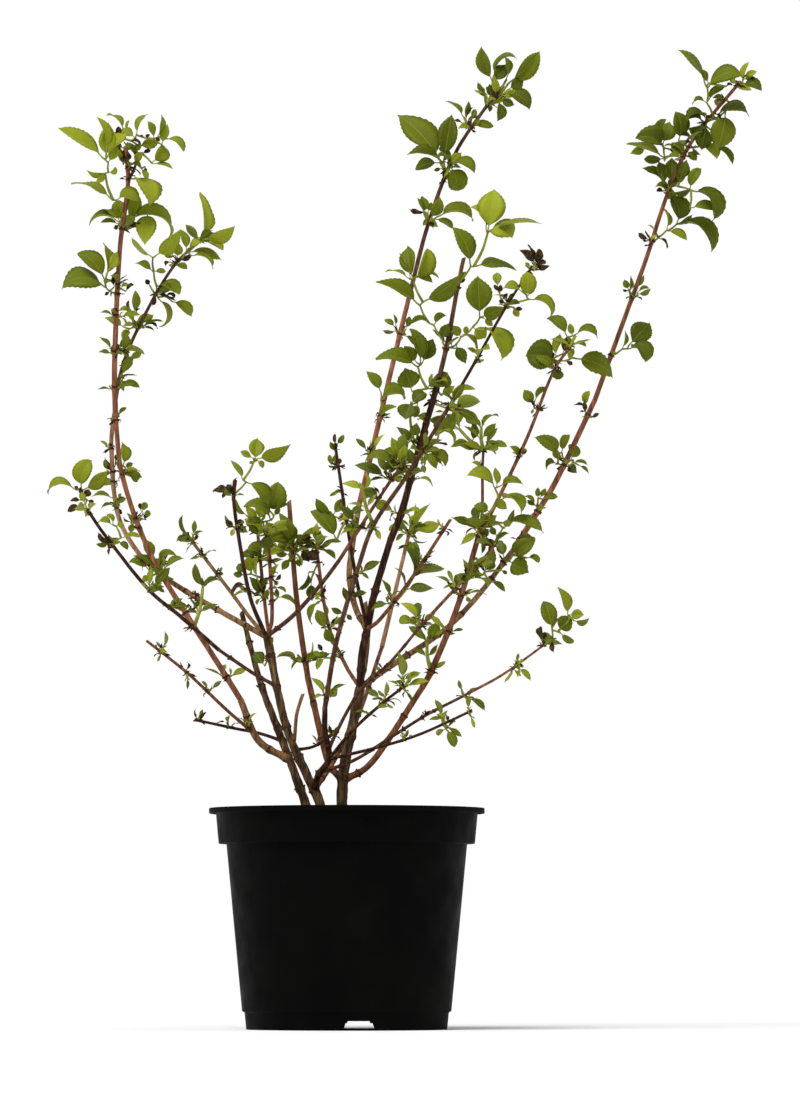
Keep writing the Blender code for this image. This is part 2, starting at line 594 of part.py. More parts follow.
def make_limbs(collection):
    """One object for each bough and for the stem of each mass, cut clear of one another."""
    rows = {**BOUGHS, **MASSES}
    paths, limbs, grown = {}, {}, {}
    for name, row in rows.items():
        paths[name] = limb_path(row, paths)
        radii = limb_radii(row, paths[name])
        mesh = tube_mesh(name, paths[name], radii, 1 if name in BOUGHS else 0)
        if row[0] is None:
            cut_foot_flat(mesh)
        limb = new_object(name, mesh, collection)
        tree = tree_of(mesh)
        cutters = []
        for other, fat in grown.items():
            if tree.overlap(fat[0]):
                cutters.append(new_object(f"{other}_clearance", fat[1].copy(), bpy.context.scene.collection))
        if cutters:
            boolean_with(limb, cutters, "DIFFERENCE")
        limbs[name] = limb
        wide = [(radius + CUT_GAP) / math.cos(math.pi / 8) for radius in radii]
        fat = tube_mesh(name, longer(paths[name], CUT_GAP), wide, 2)
        grown[name] = (tree_of(fat), fat)
    return limbs, paths, {name: fat[0] for name, fat in grown.items()}


# Leaves


def leaf_points(root, heading, length, roll, swell=0.0):
    """The six corners of a leaf, and its eight faces: an octahedron drawn out to a folded, drooping blade."""
    bm = bmesh.new()
    bmesh.ops.create_uvsphere(bm, u_segments=4, v_segments=2, radius=1.0)
    along = heading.normalized()
    outward = Vector((math.cos(roll), math.sin(roll), 0.0))
    up = Vector((0, 0, 0.5)) + outward * 0.9
    up = (up - along * up.dot(along)).normalized()
    across = up.cross(along)
    root = root - along * ROOT_SINK
    half_thickness = max(LEAF_THICKNESS * length, 0.5) / 2 + swell
    for vertex in bm.verts:
        x, y, z = vertex.co
        if abs(x) > 0.5:
            forward = length + swell if x > 0 else -swell
            rise = -LEAF_DROOP * length if x > 0 else 0.0
        else:
            forward = (LEAF_WIDEST if abs(y) > 0.5 else LEAF_THICKEST) * length
            rise = LEAF_ARCH * length + (LEAF_FOLD * length if abs(y) > 0.5 else z * half_thickness)
        side = y * (LEAF_WIDTH * length / 2 + swell)
        vertex.co = root + along * forward + across * side + up * rise
    corners = [vertex.co.copy() for vertex in bm.verts]
    faces = [[vertex.index for vertex in face.verts] for face in bm.faces]
    bm.free()
    return corners, faces


def twig_points(root, tip, radius, swell=0.0):
    """A straight three-sided green twig."""
    bm = bmesh.new()
    reach = (tip - root).length
    bmesh.ops.create_cone(bm, cap_ends=True, cap_tris=True, segments=3, radius1=radius * 1.3 + swell,
                          radius2=radius + swell, depth=reach + 2 * swell)
    turn = (tip - root).to_track_quat("Z", "Y").to_matrix().to_4x4()
    bm.transform(Matrix.Translation((root + tip) / 2) @ turn)
    bmesh.ops.triangulate(bm, faces=bm.faces)
    corners = [vertex.co.copy() for vertex in bm.verts]
    faces = [[vertex.index for vertex in face.verts] for face in bm.faces]
    bm.free()
    return corners, faces


def tuft_leaf(seed, lean, size, index, count):
    """The heading and length of one leaf of a tuft. Leaves come in opposite pairs, each a quarter turn on."""
    pair = index // 2
    turn = seed.uniform(-0.5, 0.5) + index * math.pi + pair * math.pi / 2
    low, high = TUFT_RISE
    rise = low + (high - low) * pair / max(1, count // 2) + seed.uniform(-0.25, 0.35)
    heading = Vector((math.cos(turn) + TUFT_LEAN * lean, math.sin(turn), rise))
    length = size * TUFT_FADE**pair * seed.uniform(0.8, 1.0)
    return heading, length * (1 + PETIOLE)


def tuft_leaves(name, node, path, attempt):
    """Every leaf of one tuft, as (root, heading, length, roll)."""
    height, lean, size, count = node
    start = random.Random(f"{name}/{height}").uniform(0, math.pi)
    for index in range(count):
        seed = random.Random(f"{name}/{height}/{index}/{attempt}")
        root = node_at(path, height + TUFT_STEP * (index // 2))
        heading, length = tuft_leaf(seed, lean, size * STAND_IN, index, count)
        heading = Matrix.Rotation(start * (1 - abs(lean)), 3, "Z") @ heading
        yield index, (root, heading, length, seed.uniform(0, 2 * math.pi))


def shoot_tip(name, row, path, attempt):
    """Where a shoot starts and ends. Its depth is seeded."""
    height, right, up, _ = row
    seed = random.Random(f"{name}/shoot {height} {right}/{attempt}")
    root = node_at(path, height)
    away = seed.uniform(-0.6, 0.6) * math.hypot(right, up)
    return root, root + Vector((right, away, up)), seed


def shoot_pieces(name, row, path, attempt):
    """The leaf of a short shoot, or the twig of a long one and then its leaves, each as (kind, values)."""
    root, tip, seed = shoot_tip(name, row, path, attempt)
    run, size = tip - root, row[3]
    if run.length < LONG_SHOOT:
        yield "leaf", (root, run, size + LEAF_ON_SHOOT * run.length, seed.uniform(0, 2 * math.pi))
        return
    yield "twig", (root, tip, SHOOT_RADIUS)
    ahead = run.normalized()
    side = ahead.cross(Vector((0, 1, 0))).normalized()
    for share, scale, spread in SHOOT_PAIRS:
        for way in (-1, 1):
            place = root.lerp(tip, share) - ahead
            heading = ahead + side * way * spread + Vector((0, seed.uniform(-0.5, 0.5), 0))
            yield "leaf", (place, heading, size * scale, seed.uniform(0, 2 * math.pi))


class Foliage:
    """The leaves placed so far, and what a new one has to keep clear of."""

    def __init__(self, limb_trees):
        self.limb_trees = limb_trees
        self.mass_trees = []

    def is_free(self, owner, corners, faces):
        tree = BVHTree.FromPolygons([corner * MM for corner in corners], faces)
        others = [limb for name, limb in self.limb_trees.items() if name != owner]
        return not any(tree.overlap(other) for other in others + self.mass_trees)

    def add_mass(self, pieces):
        corners, faces = [], []
        for piece_corners, piece_faces in pieces:
            start = len(corners)
            corners += [corner * MM for corner in piece_corners]
            faces += [[start + i for i in face] for face in piece_faces]
        if faces:
            self.mass_trees.append(BVHTree.FromPolygons(corners, faces))


def leaf_or_twig(kind, values, swell=0.0):
    return leaf_points(*values, swell) if kind == "leaf" else twig_points(*values, swell)


def grow_tuft(name, node, path, foliage):
    """The leaves of one tuft that find room, each tried a few times."""
    pieces = {}
    for attempt in range(TRIES):
        for index, values in tuft_leaves(name, node, path, attempt):
            if index not in pieces and foliage.is_free(name, *leaf_points(*values, LEAF_GAP)):
                pieces[index] = leaf_points(*values)
    return list(pieces.values())


def grow_shoot(name, row, path, foliage):
    """The first try at the shoot whose first piece finds room, with those of its other pieces that do too."""
    for attempt in range(TRIES):
        pieces = list(shoot_pieces(name, row, path, attempt))
        free = [foliage.is_free(name, *leaf_or_twig(*piece, LEAF_GAP)) for piece in pieces]
        if free[0]:
            return [leaf_or_twig(*piece) for piece, is_free in zip(pieces, free) if is_free]
    return []


def make_mass(name, limb, path, foliage):
    """Grows the leaves of one mass and joins them to its stem."""
    pieces = []
    for node in TUFTS[name]:
        height, lean, size, count = node
        if size >= SMALLEST_LEAF:
            fewer = (height, lean, size, math.ceil(count * SOLID_SHARE))
            pieces += grow_tuft(name, fewer, path, foliage)
    for row in SHOOTS.get(name, ()):
        pieces += grow_shoot(name, row, path, foliage)
    foliage.add_mass(pieces)
    others = []
    for index, (corners, faces) in enumerate(pieces):
        mesh = bpy.data.meshes.new(f"{name}_{index}")
        mesh.from_pydata([corner * MM for corner in corners], [], faces)
        others.append(new_object(mesh.name, mesh, bpy.context.scene.collection))
    boolean_with(limb, others, "UNION")
    return len(pieces)


# The whole plant


def move_to_origin(pieces, cutters):
    """Puts the middle of the underside of the pieces' bounding box at the origin."""
    corners = []
    for obj in pieces:
        mesh = evaluated_mesh(obj)
        corners += [vertex.co.copy() for vertex in mesh.vertices]
        bpy.data.meshes.remove(mesh)
    low = [min(corner[axis] for corner in corners) for axis in range(3)]
    high = [max(corner[axis] for corner in corners) for axis in range(3)]
    shift = Vector(((low[0] + high[0]) / 2, (low[1] + high[1]) / 2, low[2]))
    for obj in pieces + cutters:
        obj.location -= shift
    return shift


def main():
    clear_scene()
    plant = new_collection(OBJECT_NAME)
    cutters = new_collection("Cutters")
    pot = make_pot(plant, cutters)
    compost = make_compost(plant)
    limbs, paths, trees = make_limbs(plant)
    foliage = Foliage(trees)
    leaves = 0
    for name in MASSES:
        leaves += make_mass(name, limbs[name], paths[name], foliage)
    for name, limb in limbs.items():
        finish(limb, "bark" if name in BOUGHS else "leaf")
    shift = move_to_origin([pot, compost, *limbs.values()], list(cutters.objects))
    print(f"{leaves} leaves and green twigs; the pot's axis stands at", *(f"{-v / MM:.2f}" for v in shift))


main()
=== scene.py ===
"""The looks of the potted mock orange: bark, leaves, withered scraps, pot and compost, in a pale studio.

The canes, the nodes along them and the leaves at the nodes follow the same named sizes and the same seeded
rule as the solids, and are carried on to finer twigs and smaller leaves. Leaves that stand out are placed
one by one. Sizes are in millimetres from the pot's axis at the ground, X to the right, Y away from the
viewer and Z up, until a mesh is built. Angles are in radians.
"""

import math
import random

import bmesh
import bpy
from mathutils import Matrix, Vector, noise
from mathutils.geometry import interpolate_bezier
from mathutils.kdtree import KDTree

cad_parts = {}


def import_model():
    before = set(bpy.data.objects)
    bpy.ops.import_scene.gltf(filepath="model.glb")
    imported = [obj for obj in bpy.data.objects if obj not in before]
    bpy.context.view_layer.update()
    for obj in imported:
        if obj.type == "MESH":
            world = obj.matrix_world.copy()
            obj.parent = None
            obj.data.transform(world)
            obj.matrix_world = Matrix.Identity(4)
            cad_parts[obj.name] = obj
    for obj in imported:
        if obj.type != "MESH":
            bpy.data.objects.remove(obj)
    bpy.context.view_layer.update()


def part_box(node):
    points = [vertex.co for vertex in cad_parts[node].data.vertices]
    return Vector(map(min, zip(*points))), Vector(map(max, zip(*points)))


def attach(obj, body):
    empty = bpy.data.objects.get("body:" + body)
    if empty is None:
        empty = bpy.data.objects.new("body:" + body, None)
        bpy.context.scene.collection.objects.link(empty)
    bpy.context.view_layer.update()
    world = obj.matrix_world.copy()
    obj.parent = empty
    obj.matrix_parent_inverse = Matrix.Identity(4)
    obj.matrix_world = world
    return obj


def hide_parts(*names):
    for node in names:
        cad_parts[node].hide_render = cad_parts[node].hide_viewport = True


MM = 0.001

# Pot
POT_HEIGHT = 220.0
POT_SIDES = 160
WALL = 2.0
FLOOR = 2.5
FOOT_RADIUS = 100.0
FOOT_TOP_RADIUS = 101.7
FOOT_HEIGHT = 17.0
BODY_FOOT_RADIUS = 104.2
BODY_TOP_RADIUS = 120.0
COLLAR_FOOT_RADIUS = 127.7
COLLAR_TOP_RADIUS = 130.8
COLLAR_FOOT = 184.5
LIP_RADIUS = 137.4
LIP_DROP = 5.5
NOTCH_OFFSET = 12.5
NOTCH_HEIGHT = 9.3
NOTCH_FOOT_WIDTH = 32.5
NOTCH_TOP_WIDTH = 25.6
NOTCH_ROUNDING = 2.2
EDGE = 0.7
SHARP = math.radians(40)  # edges that turn further than this look sharp

# Compost
COMPOST_TOP = 198.0
COMPOST_RINGS = 46
COMPOST_SIDES = 120
BODY_RINGS = 3  # below the surface
COMPOST_GAP = 3.0  # between the body's hidden sides and the outside of the pot
COMPOST_LEDGE = 2.6  # from the collar's foot up to the body's shoulder
RIM_GAP = 0.5
SINK = 1.5
LUMP = 2.6
LUMPS = ((22, 0, 1.0), (8, 50, 0.5), (3, 90, 0.35))  # how long, from which layer of noise, and how high
SLUMP = (105.0, 20.0, 2.0)  # where the surface starts to fall to the wall, over what run, and how far
STREWN_MARGIN = 4.0
# What lies on it: how many bits, their size, and their length, breadth and height as shares of it
STREWN = {
    "bark chips": (420, (1.2, 5.5), (1.0, 0.45, 0.3)),
    "grit": (260, (0.6, 1.6), (1.0, 0.9, 0.8)),
}
SPIN = (0, 6.3)
TILT = (-0.5, 0.5)
UNEVEN = (0.75, 1.15)

# Limbs
DEPTH = 1.35  # the spread from front to back, for the given Y values
VIEW_SIDE = 53.0  # the given X and Z values are as they look from this viewpoint far out in front
VIEW_DISTANCE = 6000.0
VIEW_HEIGHT = 75.0
RING_SPACING = 2.4
FLARE = 0.55  # the extra thickness at the compost, as a share of the stem's radius
FLARE_HEIGHT = 9.0
BURIED = 12.0
NODE_INSET = 2.5
NODE_SPACING = (30.0, 48.0)  # between the bare nodes of a bough
NODE_SWELL = 0.24  # how much a cane swells at a node, as a share of its radius
NODE_REACH = 2.4
SCAR_REACH = 1.2  # half the height of the dark ring at a node
FORK_SWELL = 0.45
FORK_REACH = 5.0
BARK_THICKNESS = 0.5  # what bark adds to the given radius of a limb, unless it has one of its own
OTHER_THICKNESS = {
    "left_cane": 0.1, "left_cane_leaves": -0.1, "left_side_crown": 0.3, "low_left_branch": 0.0,
    "whip": 0.3, "whip_leaves": 0.2, "whip_crown": 0.05, "dark_cane_leaves": 0.9, "back_right_cane": 0.0,
    "right_cane": 0.1, "right_mid_crown": 0.2, "far_right_cane": -0.1, "right_slender": 0.2,
    "low_right_branch": 0.2, "low_right_spray": 0.2,
}
BOUGH_SIDES = 14
STEM_SIDES = 10
RIDGES = 2.2  # how fast the ridges of the bark change round a limb
RIDGE_LENGTH = 14.0
RIDGE_SHARE = 1.3  # of the relief
LUMP_LENGTH = 6.0
LUMP_SHARE = 0.9
CUT_SLOPE = 0.35
TIP_REACH = 0.8  # how far a whole tip stands out, as a share of its radius

# Green twigs, forks and buds
TWIG_SIDES = 6
TWIG_BOW = 0.05  # how far a twig bows aside, as a share of its length
TWIG_SLOPE = (0.15, 0.6)  # how far a twig runs to the front or back, as a share of its seen length
TWIG_THICK = (0.85, 0.014, 1.7)  # the least radius, how it grows with the twig's length, and the most
TWIG_TAPER = (1.15, 0.8)  # at foot and tip
TWIG_SPACING = 5.0
LEAST_TWIG = 2.0
SPRIG_RADIUS = (1.6, 1.1)  # at foot and tip
SPRIG_SHARE = 0.35  # how much of a short sprig's run is its own twig
SPRIG_LAP = 0.5
SPRIG_DEPTH = 0.7  # how far it runs to the front or back at most, as a share of its seen run
LONG_SHOOT = 24.0
SHOOT_RADIUS = (2.1, 1.5)  # at foot and tip
SHOOT_SPACING = 6.0
SHOOT_PAIRS = ((1.0, 1.0, 0.75), (0.45, 0.78, 1.05))  # how far along, how large and how spread
SHOOT_TIP_PAIR = (0.45, 0.35)  # how large and how spread
FORK_SIDES = 8
FORK_RADIUS = (1.7, 1.1)  # at foot and tip
FORK_SPACING = 3.0
FORK_BOW = 0.06
FORK_FORWARD = 4.0
BUD_REACH = (1.6, 3.2)
BUD_BENDS = (0.45, 0.8)
BUD_RADII = (0.9, 1.05, 0.6, 0.1)
BUD_SUNK = 0.5
BUD_SPREAD = 0.8

# Leaves. A pair of numbers is a range unless it says otherwise
LEAF_WIDTH = 0.54
LEAF_SCALE = 1.15  # the size of a grown leaf for the given length
BROAD_LENGTH = 42.0  # a leaf of this length is as broad as they get
BREADTH = (0.72, 0.4)  # the breadth of the smallest leaf, and how much the largest has more
WIDTH_VARIES = (0.85, 1.15)
LEAF_BASE = (0.68, 0.95)  # how slender the outline is at its foot
LEAF_POINT = (1.1, 1.5)  # and at its tip
LEAF_ROWS = ((24.0, 20), (12.0, 12), (0.0, 7))  # rows of faces in a blade that is longer than this
DROOPS = (0.1, 0.5, 0.9, 1.4)
DROOP_VARIES = (-0.25, 0.3)
DROOP_CURVE = 1.4
TWIST = (-0.7, 0.7)
FOLD = (0.25, 0.85)
FOLD_OPENS = 0.5  # how much of its fold a blade has lost at its tip
WAVE = (0.0, 0.03)
WAVES = 9.0
TEETH = (0.03, 0.09)
TOOTHED_LENGTH = 15.0
TOOTHED_PART = (0.15, 0.93)
PUCKER = 0.007
PUCKERED_LENGTH = 11.0
RIB = (0.2, 0.007)  # half the midrib's width, and how it grows with the leaf's length
VEINS = 4
VEIN_SLANT = 0.8
SAG = 0.01  # of the edges, for the square of their reach
EDGE_FORWARD = 0.45  # how far an edge corner leads its row, as a share of the row's length
TOOTH_FORWARD = 0.85  # the same at a tooth
RIB_MARGIN = 1.2  # a blade is at least this much wider than its midrib
RIB_MARGIN_FADES = 0.7
RIB_FADES = 0.75  # how much of its width the midrib has lost at the tip
RIB_MOST = 0.4  # of the blade's half width
BLADE = 0.3  # a blade's thickness
BLADE_THINS = 0.5
RIB_THICKNESS = 1.6  # of the blade's
LEAF_UPWARD = 0.5
LEAF_ASIDE = 0.9
PETIOLE = 0.16
PETIOLE_SIDES = 5
PETIOLE_LIFT = 0.12
PETIOLE_THICK = (0.3, 0.011)  # the least radius, and how it grows with the leaf's length
PETIOLE_TAPER = (1.3, 1.0, 0.95)
PETIOLE_SUNK = 0.5
PETIOLE_LAP = 0.4
COLUMNS = (-1.0, -0.52, 0.0, 0.0, 0.52, 1.0)  # across a blade; the two in the middle bound the midrib
EDGE_COLUMNS = (0, 5)
VEIN_COLUMNS = (1, 4)
RIB_COLUMNS = (2, 3)
TUFT_RISE = (0.33, 0.83)
TUFT_LEAN = 1.3
TUFT_FADE = 0.88
TUFT_STEP = 5.0
TUFT_TURN_VARIES = (-0.6, 0.6)
TUFT_RISE_VARIES = (-0.35, 0.45)
TUFT_SIZE_VARIES = (0.8, 1.0)
SAME_NODE = 6.0  # leaves, sprigs and tufts this near in height share a node
SECOND_LEAF = 16.0  # a sprig whose main leaf is this long has a second one
SECOND_TURN = (0.8, 1.5)
SECOND_SIZE = (0.5, 0.7)
SECOND_DEPTH = (-0.4, 0.4)
SECOND_RISE = 0.2
TINY_LEAST = 5.0
TINY_SIZE = (0.28, 0.4)
TINY_SPREAD = 0.7
TINY_RISE = 0.6
TINY_WITHERED = 0.15  # the share of tiny pairs that have withered
ROLL_VARIES = (-1.2, 1.2)
FACING_BACK = 0.15  # the share of leaves that face the back
PAIR_SIZE_VARIES = (0.85, 1.15)
PAIR_SUNK = 0.5
SHOOT_LEAF_VARIES = (0.85, 1.05)
SHOOT_LEAF_DEPTH = (-0.5, 0.5)
TRIES = 6
PROBES = (0.35, 0.6, 0.85)  # where along a leaf its clearance is looked at
PROBE_REACH = 12.0
CLEARANCE = 1.2  # between a leaf and a limb that isn't its own

# Leaves that are placed one by one
TURNED = 5.0  # how far a bulging leaf's face is turned aside, for its bulge as a share of its length
MOST_TURNED = 1.0
TRUE_WIDTH = 0.42  # a leaf seen narrower than this share of its length is seen from its side
LEAF_SLOPE = 0.5
PLACED_DROOP = (0.1, 0.7)
BULGE_OF_DROOP = 0.12  # how far a droop of 1 bulges, as a share of the leaf's length
MOST_DROOP = 2.2
FOLDED_AWAY = 1.22  # a flat blade's width for the width that its fold and curl leave
PLACED_TWIST = 0.65

# Withered leaves
DRY_WIDTH = (0.5, 0.9)
DRY_DROOP = (-1.5, 3.0)
DRY_TWIST = (-2.0, 2.0)
DRY_FOLD = (0.5, 1.2)
DRY_WAVE = 0.06
PLACED_DRY_FOLD = (0.3, 0.8)
PLACED_DRY_WAVE = 0.05
SCRAPS = (3, 7)  # how many there are at a node
SCRAP_LENGTH = (4.0, 12.0)
SCRAP_RISE = (-0.7, 0.9)
SCRAP_PLACE = (-1, 3)
DRY_PAIR = 0.4  # the share of nodes with a pair of them
DRY_PAIR_LENGTH = (8, 14)
DRY_PAIR_HEIGHT = 2
DRY_PAIR_SPREAD = 0.8

# Each limb: its parent, the height at which it leaves the parent (None for the parent's tip), its radius
# at foot and tip, and the points that it passes
BOUGHS = {
    "left_stem": (None, None, 4.6, 1.8, (
        (-31, 16, 198), (-41, 18, 224), (-54, 20, 260), (-72, 26, 307), (-86, 32, 344), (-105.5, 44, 416))),
    "middle_stem": (None, None, 4.4, 3.0, (
        (-25, -12, 198), (-27, -12, 224), (-38, -11, 249), (-58, -9, 293), (-67, -8, 327), (-80.5, -6, 391))),
    "right_stem": (None, None, 5.4, 4.4, (
        (-5.5, 10, 198), (-4, 10, 248), (0, 10, 276), (7.7, 10, 312), (13, 10, 340))),
    "left_cane": ("left_stem", 269, 3.6, 3.2, ((-81, 22, 281), (-92, 20, 293), (-106, 16, 328))),
    "whip": ("middle_stem", 238, 3.0, 2.4, (
        (-28, -20, 254), (-18, -26, 269), (-22, -34, 298), (-22, -39, 320))),
    "dark_cane": ("right_stem", None, 3.6, 2.8, (
        (15.5, 2, 376), (20.4, 0, 399), (26.4, -4, 430), (43.3, -12, 487.6))),
    "back_cane": ("dark_cane", 399, 2.6, 2.4, ((9, 14, 419), (2.5, 26, 450), (4, 34, 473), (12, 54, 523))),
    "upright_cane": ("right_stem", 248, 3.0, 2.6, ((-16, 22, 261), (-22, 28, 277), (-39, 40, 350))),
    "back_right_cane": ("middle_stem", 238, 2.4, 2.0, (
        (-17, 2, 260), (0.2, 30, 292), (12, 36, 314), (35, 52, 381))),
    "right_cane": ("right_stem", 248, 3.2, 2.8, ((18.6, 14, 259.6), (38, 14, 283.4), (75, 11, 340))),
    "far_right_cane": ("right_stem", None, 3.2, 2.6, (
        (37, 14, 357.4), (96.8, 26, 397.5), (129, 28, 430), (167.6, 28, 480))),
    "arching_branch": ("middle_stem", None, 2.4, 2.0, (
        (-119.5, 4, 412.6), (-165, 12, 439), (-186, 16, 453))),
    "low_left_branch": ("middle_stem", 342, 1.9, 1.7, ((-91, -16, 353), (-128, -26, 378))),
    "front_left_branch": ("middle_stem", None, 1.8, 1.5, (
        (-52, -26, 414), (-23, -48, 447.4), (-7.6, -58, 468))),
    "right_slender": ("whip", 279, 1.6, 1.2, (
        (0, -40, 316), (16, -52, 341), (42.6, -62, 365), (73, -72, 401))),
    "low_right_branch": ("whip", 256, 1.6, 1.2, (
        (5.6, -30, 267), (41.4, -34, 289), (78.5, -50, 312.4), (115.5, -58, 331.5))),
    "pruned_stub": ("right_stem", None, 2.0, 1.5, ((19, 16, 368), (20.9, 14, 394), (18.4, 14, 426))),
    "pruned_twig": ("middle_stem", 282, 1.4, 1.2, ((-52, -24, 293), (-50, -30, 314), (-44, -34, 334))),
}

# The stem of each leafy mass, given in the same way
MASSES = {
    "left_cane_leaves": ("left_cane", None, 3.0, 2.4, (
        (-133, 10, 371), (-157, 6, 408), (-197, 2, 475), (-225, -2, 553), (-232, -6, 612))),
    "left_crown": ("left_cane_leaves", None, 2.3, 1.6, (
        (-233, -10, 664), (-228, -18, 781), (-220, -24, 850), (-223, -26, 884))),
    "arching_leaves": ("arching_branch", None, 1.9, 1.7, (
        (-209, 18, 475.5), (-229, 22, 513), (-236, 24, 581), (-234, 22, 611))),
    "left_side_crown": ("arching_leaves", None, 1.6, 1.1, (
        (-225, 24, 663), (-201, 28, 718), (-172, 32, 766), (-146, 34, 790))),
    "low_left_spray": ("low_left_branch", None, 1.6, 1.1, (
        (-167, -32, 412), (-197, -36, 437), (-243, -44, 494), (-260, -48, 519))),
    "left_twig": ("left_cane", 295, 1.3, 0.9, ((-119, 2, 317), (-159.5, -16, 355), (-200, -28, 387))),
    "low_left_twig": ("left_stem", 287, 1.3, 0.9, ((-87, 36, 294.5), (-114, 40, 300), (-151, 38, 308))),
    "tan_shoot": ("middle_stem", None, 1.6, 1.1, ((-96.5, 20, 409.5), (-114, 30, 433), (-156, 44, 488))),
    "dark_shoot": ("middle_stem", None, 1.7, 1.2, (
        (-96.5, -20, 430), (-109.6, -36, 499), (-113.5, -42, 531), (-111.6, -44, 548))),
    "inner_shoot": ("middle_stem", None, 1.6, 1.1, ((-75, 4, 408), (-77.5, 12, 468), (-80, 14, 496))),
    "back_left_shoot": ("middle_stem", 342, 1.6, 1.1, ((-73, 14, 370), (-80, 26, 407), (-90, 40, 501))),
    "upright_cane_leaves": ("upright_cane", None, 2.5, 1.8, (
        (-47, 46, 403), (-52, 50, 446), (-58, 58, 527))),
    "back_shoot": ("right_stem", None, 1.5, 1.1, ((-1, 24, 362), (-18.5, 40, 403), (-31, 54, 483))),
    "front_left_spray": ("front_left_branch", None, 1.4, 1.0, (
        (7, -66, 491), (44, -84, 548), (57, -90, 565))),
    "bud_shoot": ("dark_cane", 399, 1.5, 1.0, ((9, -22, 451), (-0.7, -24, 508.6), (-11.6, -18, 581))),
    "whip_leaves": ("whip", None, 2.3, 1.7, (
        (-10.5, -54, 386), (13, -72, 466), (26, -80, 502), (58, -94, 550), (101.7, -112, 621))),
    "whip_crown": ("whip_leaves", None, 1.6, 1.2, (
        (127.8, -122, 666), (159.7, -132, 723), (185, -138, 762))),
    "dark_cane_leaves": ("dark_cane", None, 2.7, 2.1, (
        (53.8, -16, 513.4), (63.4, -20, 548), (82, -26, 614.4), (91.4, -28, 646.5))),
    "dark_cane_crown": ("dark_cane_leaves", None, 2.0, 1.5, (
        (101, -32, 688.6), (110.6, -36, 741), (117, -38, 772))),
    "back_cane_leaves": ("back_cane", None, 2.3, 1.9, ((24, 72, 573), (51, 104, 687), (64, 116, 740))),
    "top_crown": ("back_cane_leaves", None, 1.8, 1.2, ((82, 128, 808), (110, 140, 880), (153, 150, 943))),
    "back_right_shoot": ("back_right_cane", None, 1.9, 1.3, ((48, 62, 435.5), (62.4, 72, 496))),
    "right_inner_shoot": ("whip", 269, 1.3, 0.9, ((5.6, -44, 297.5), (37, -62, 326), (58, -74, 342))),
    "right_slender_leaves": ("right_slender", None, 1.2, 1.0, (
        (96.8, -80, 427), (135, -92, 467.5), (148, -96, 484))),
    "right_cane_leaves": ("right_cane", None, 2.7, 2.1, (
        (84, 10, 356), (110, 8, 420), (131, 8, 490), (134, 8, 501))),
    "right_thin_shoot": ("right_cane_leaves", None, 1.1, 0.9, (
        (135.5, 18, 525), (135.5, 26, 559), (136.6, 30, 580))),
    "right_mid_crown": ("right_cane_leaves", None, 1.9, 1.2, (
        (143, -2, 513), (180, -22, 590), (207.6, -36, 659), (226, -42, 685))),
    "far_right_leaves": ("far_right_cane", None, 2.5, 2.1, (
        (185, 28, 507.5), (208, 26, 545), (248, 22, 628))),
    "far_right_crown": ("far_right_leaves", None, 2.0, 1.2, (
        (278, 18, 710.5), (299.5, 14, 769.4), (322.6, 10, 839), (346, 6, 889), (395, 0, 950))),
    "low_right_spray": ("low_right_branch", None, 1.2, 0.9, ((155, -66, 353), (198.4, -76, 384))),
    "low_right_twig": ("whip", 269, 1.2, 0.8, (
        (16.4, -44, 277), (53.3, -56, 287), (78.5, -62, 296), (124, -70, 317))),
    "pruned_side_branch": ("dark_cane", 399, 1.6, 1.1, (
        (31.8, -14, 407.3), (53.5, -28, 434.4), (74.8, -40, 464.6), (103.5, -56, 508.6))),
    "inner_twig": ("middle_stem", 278, 1.2, 0.8, ((-32.4, 0, 281.8), (-13, 8, 294.3))),
}

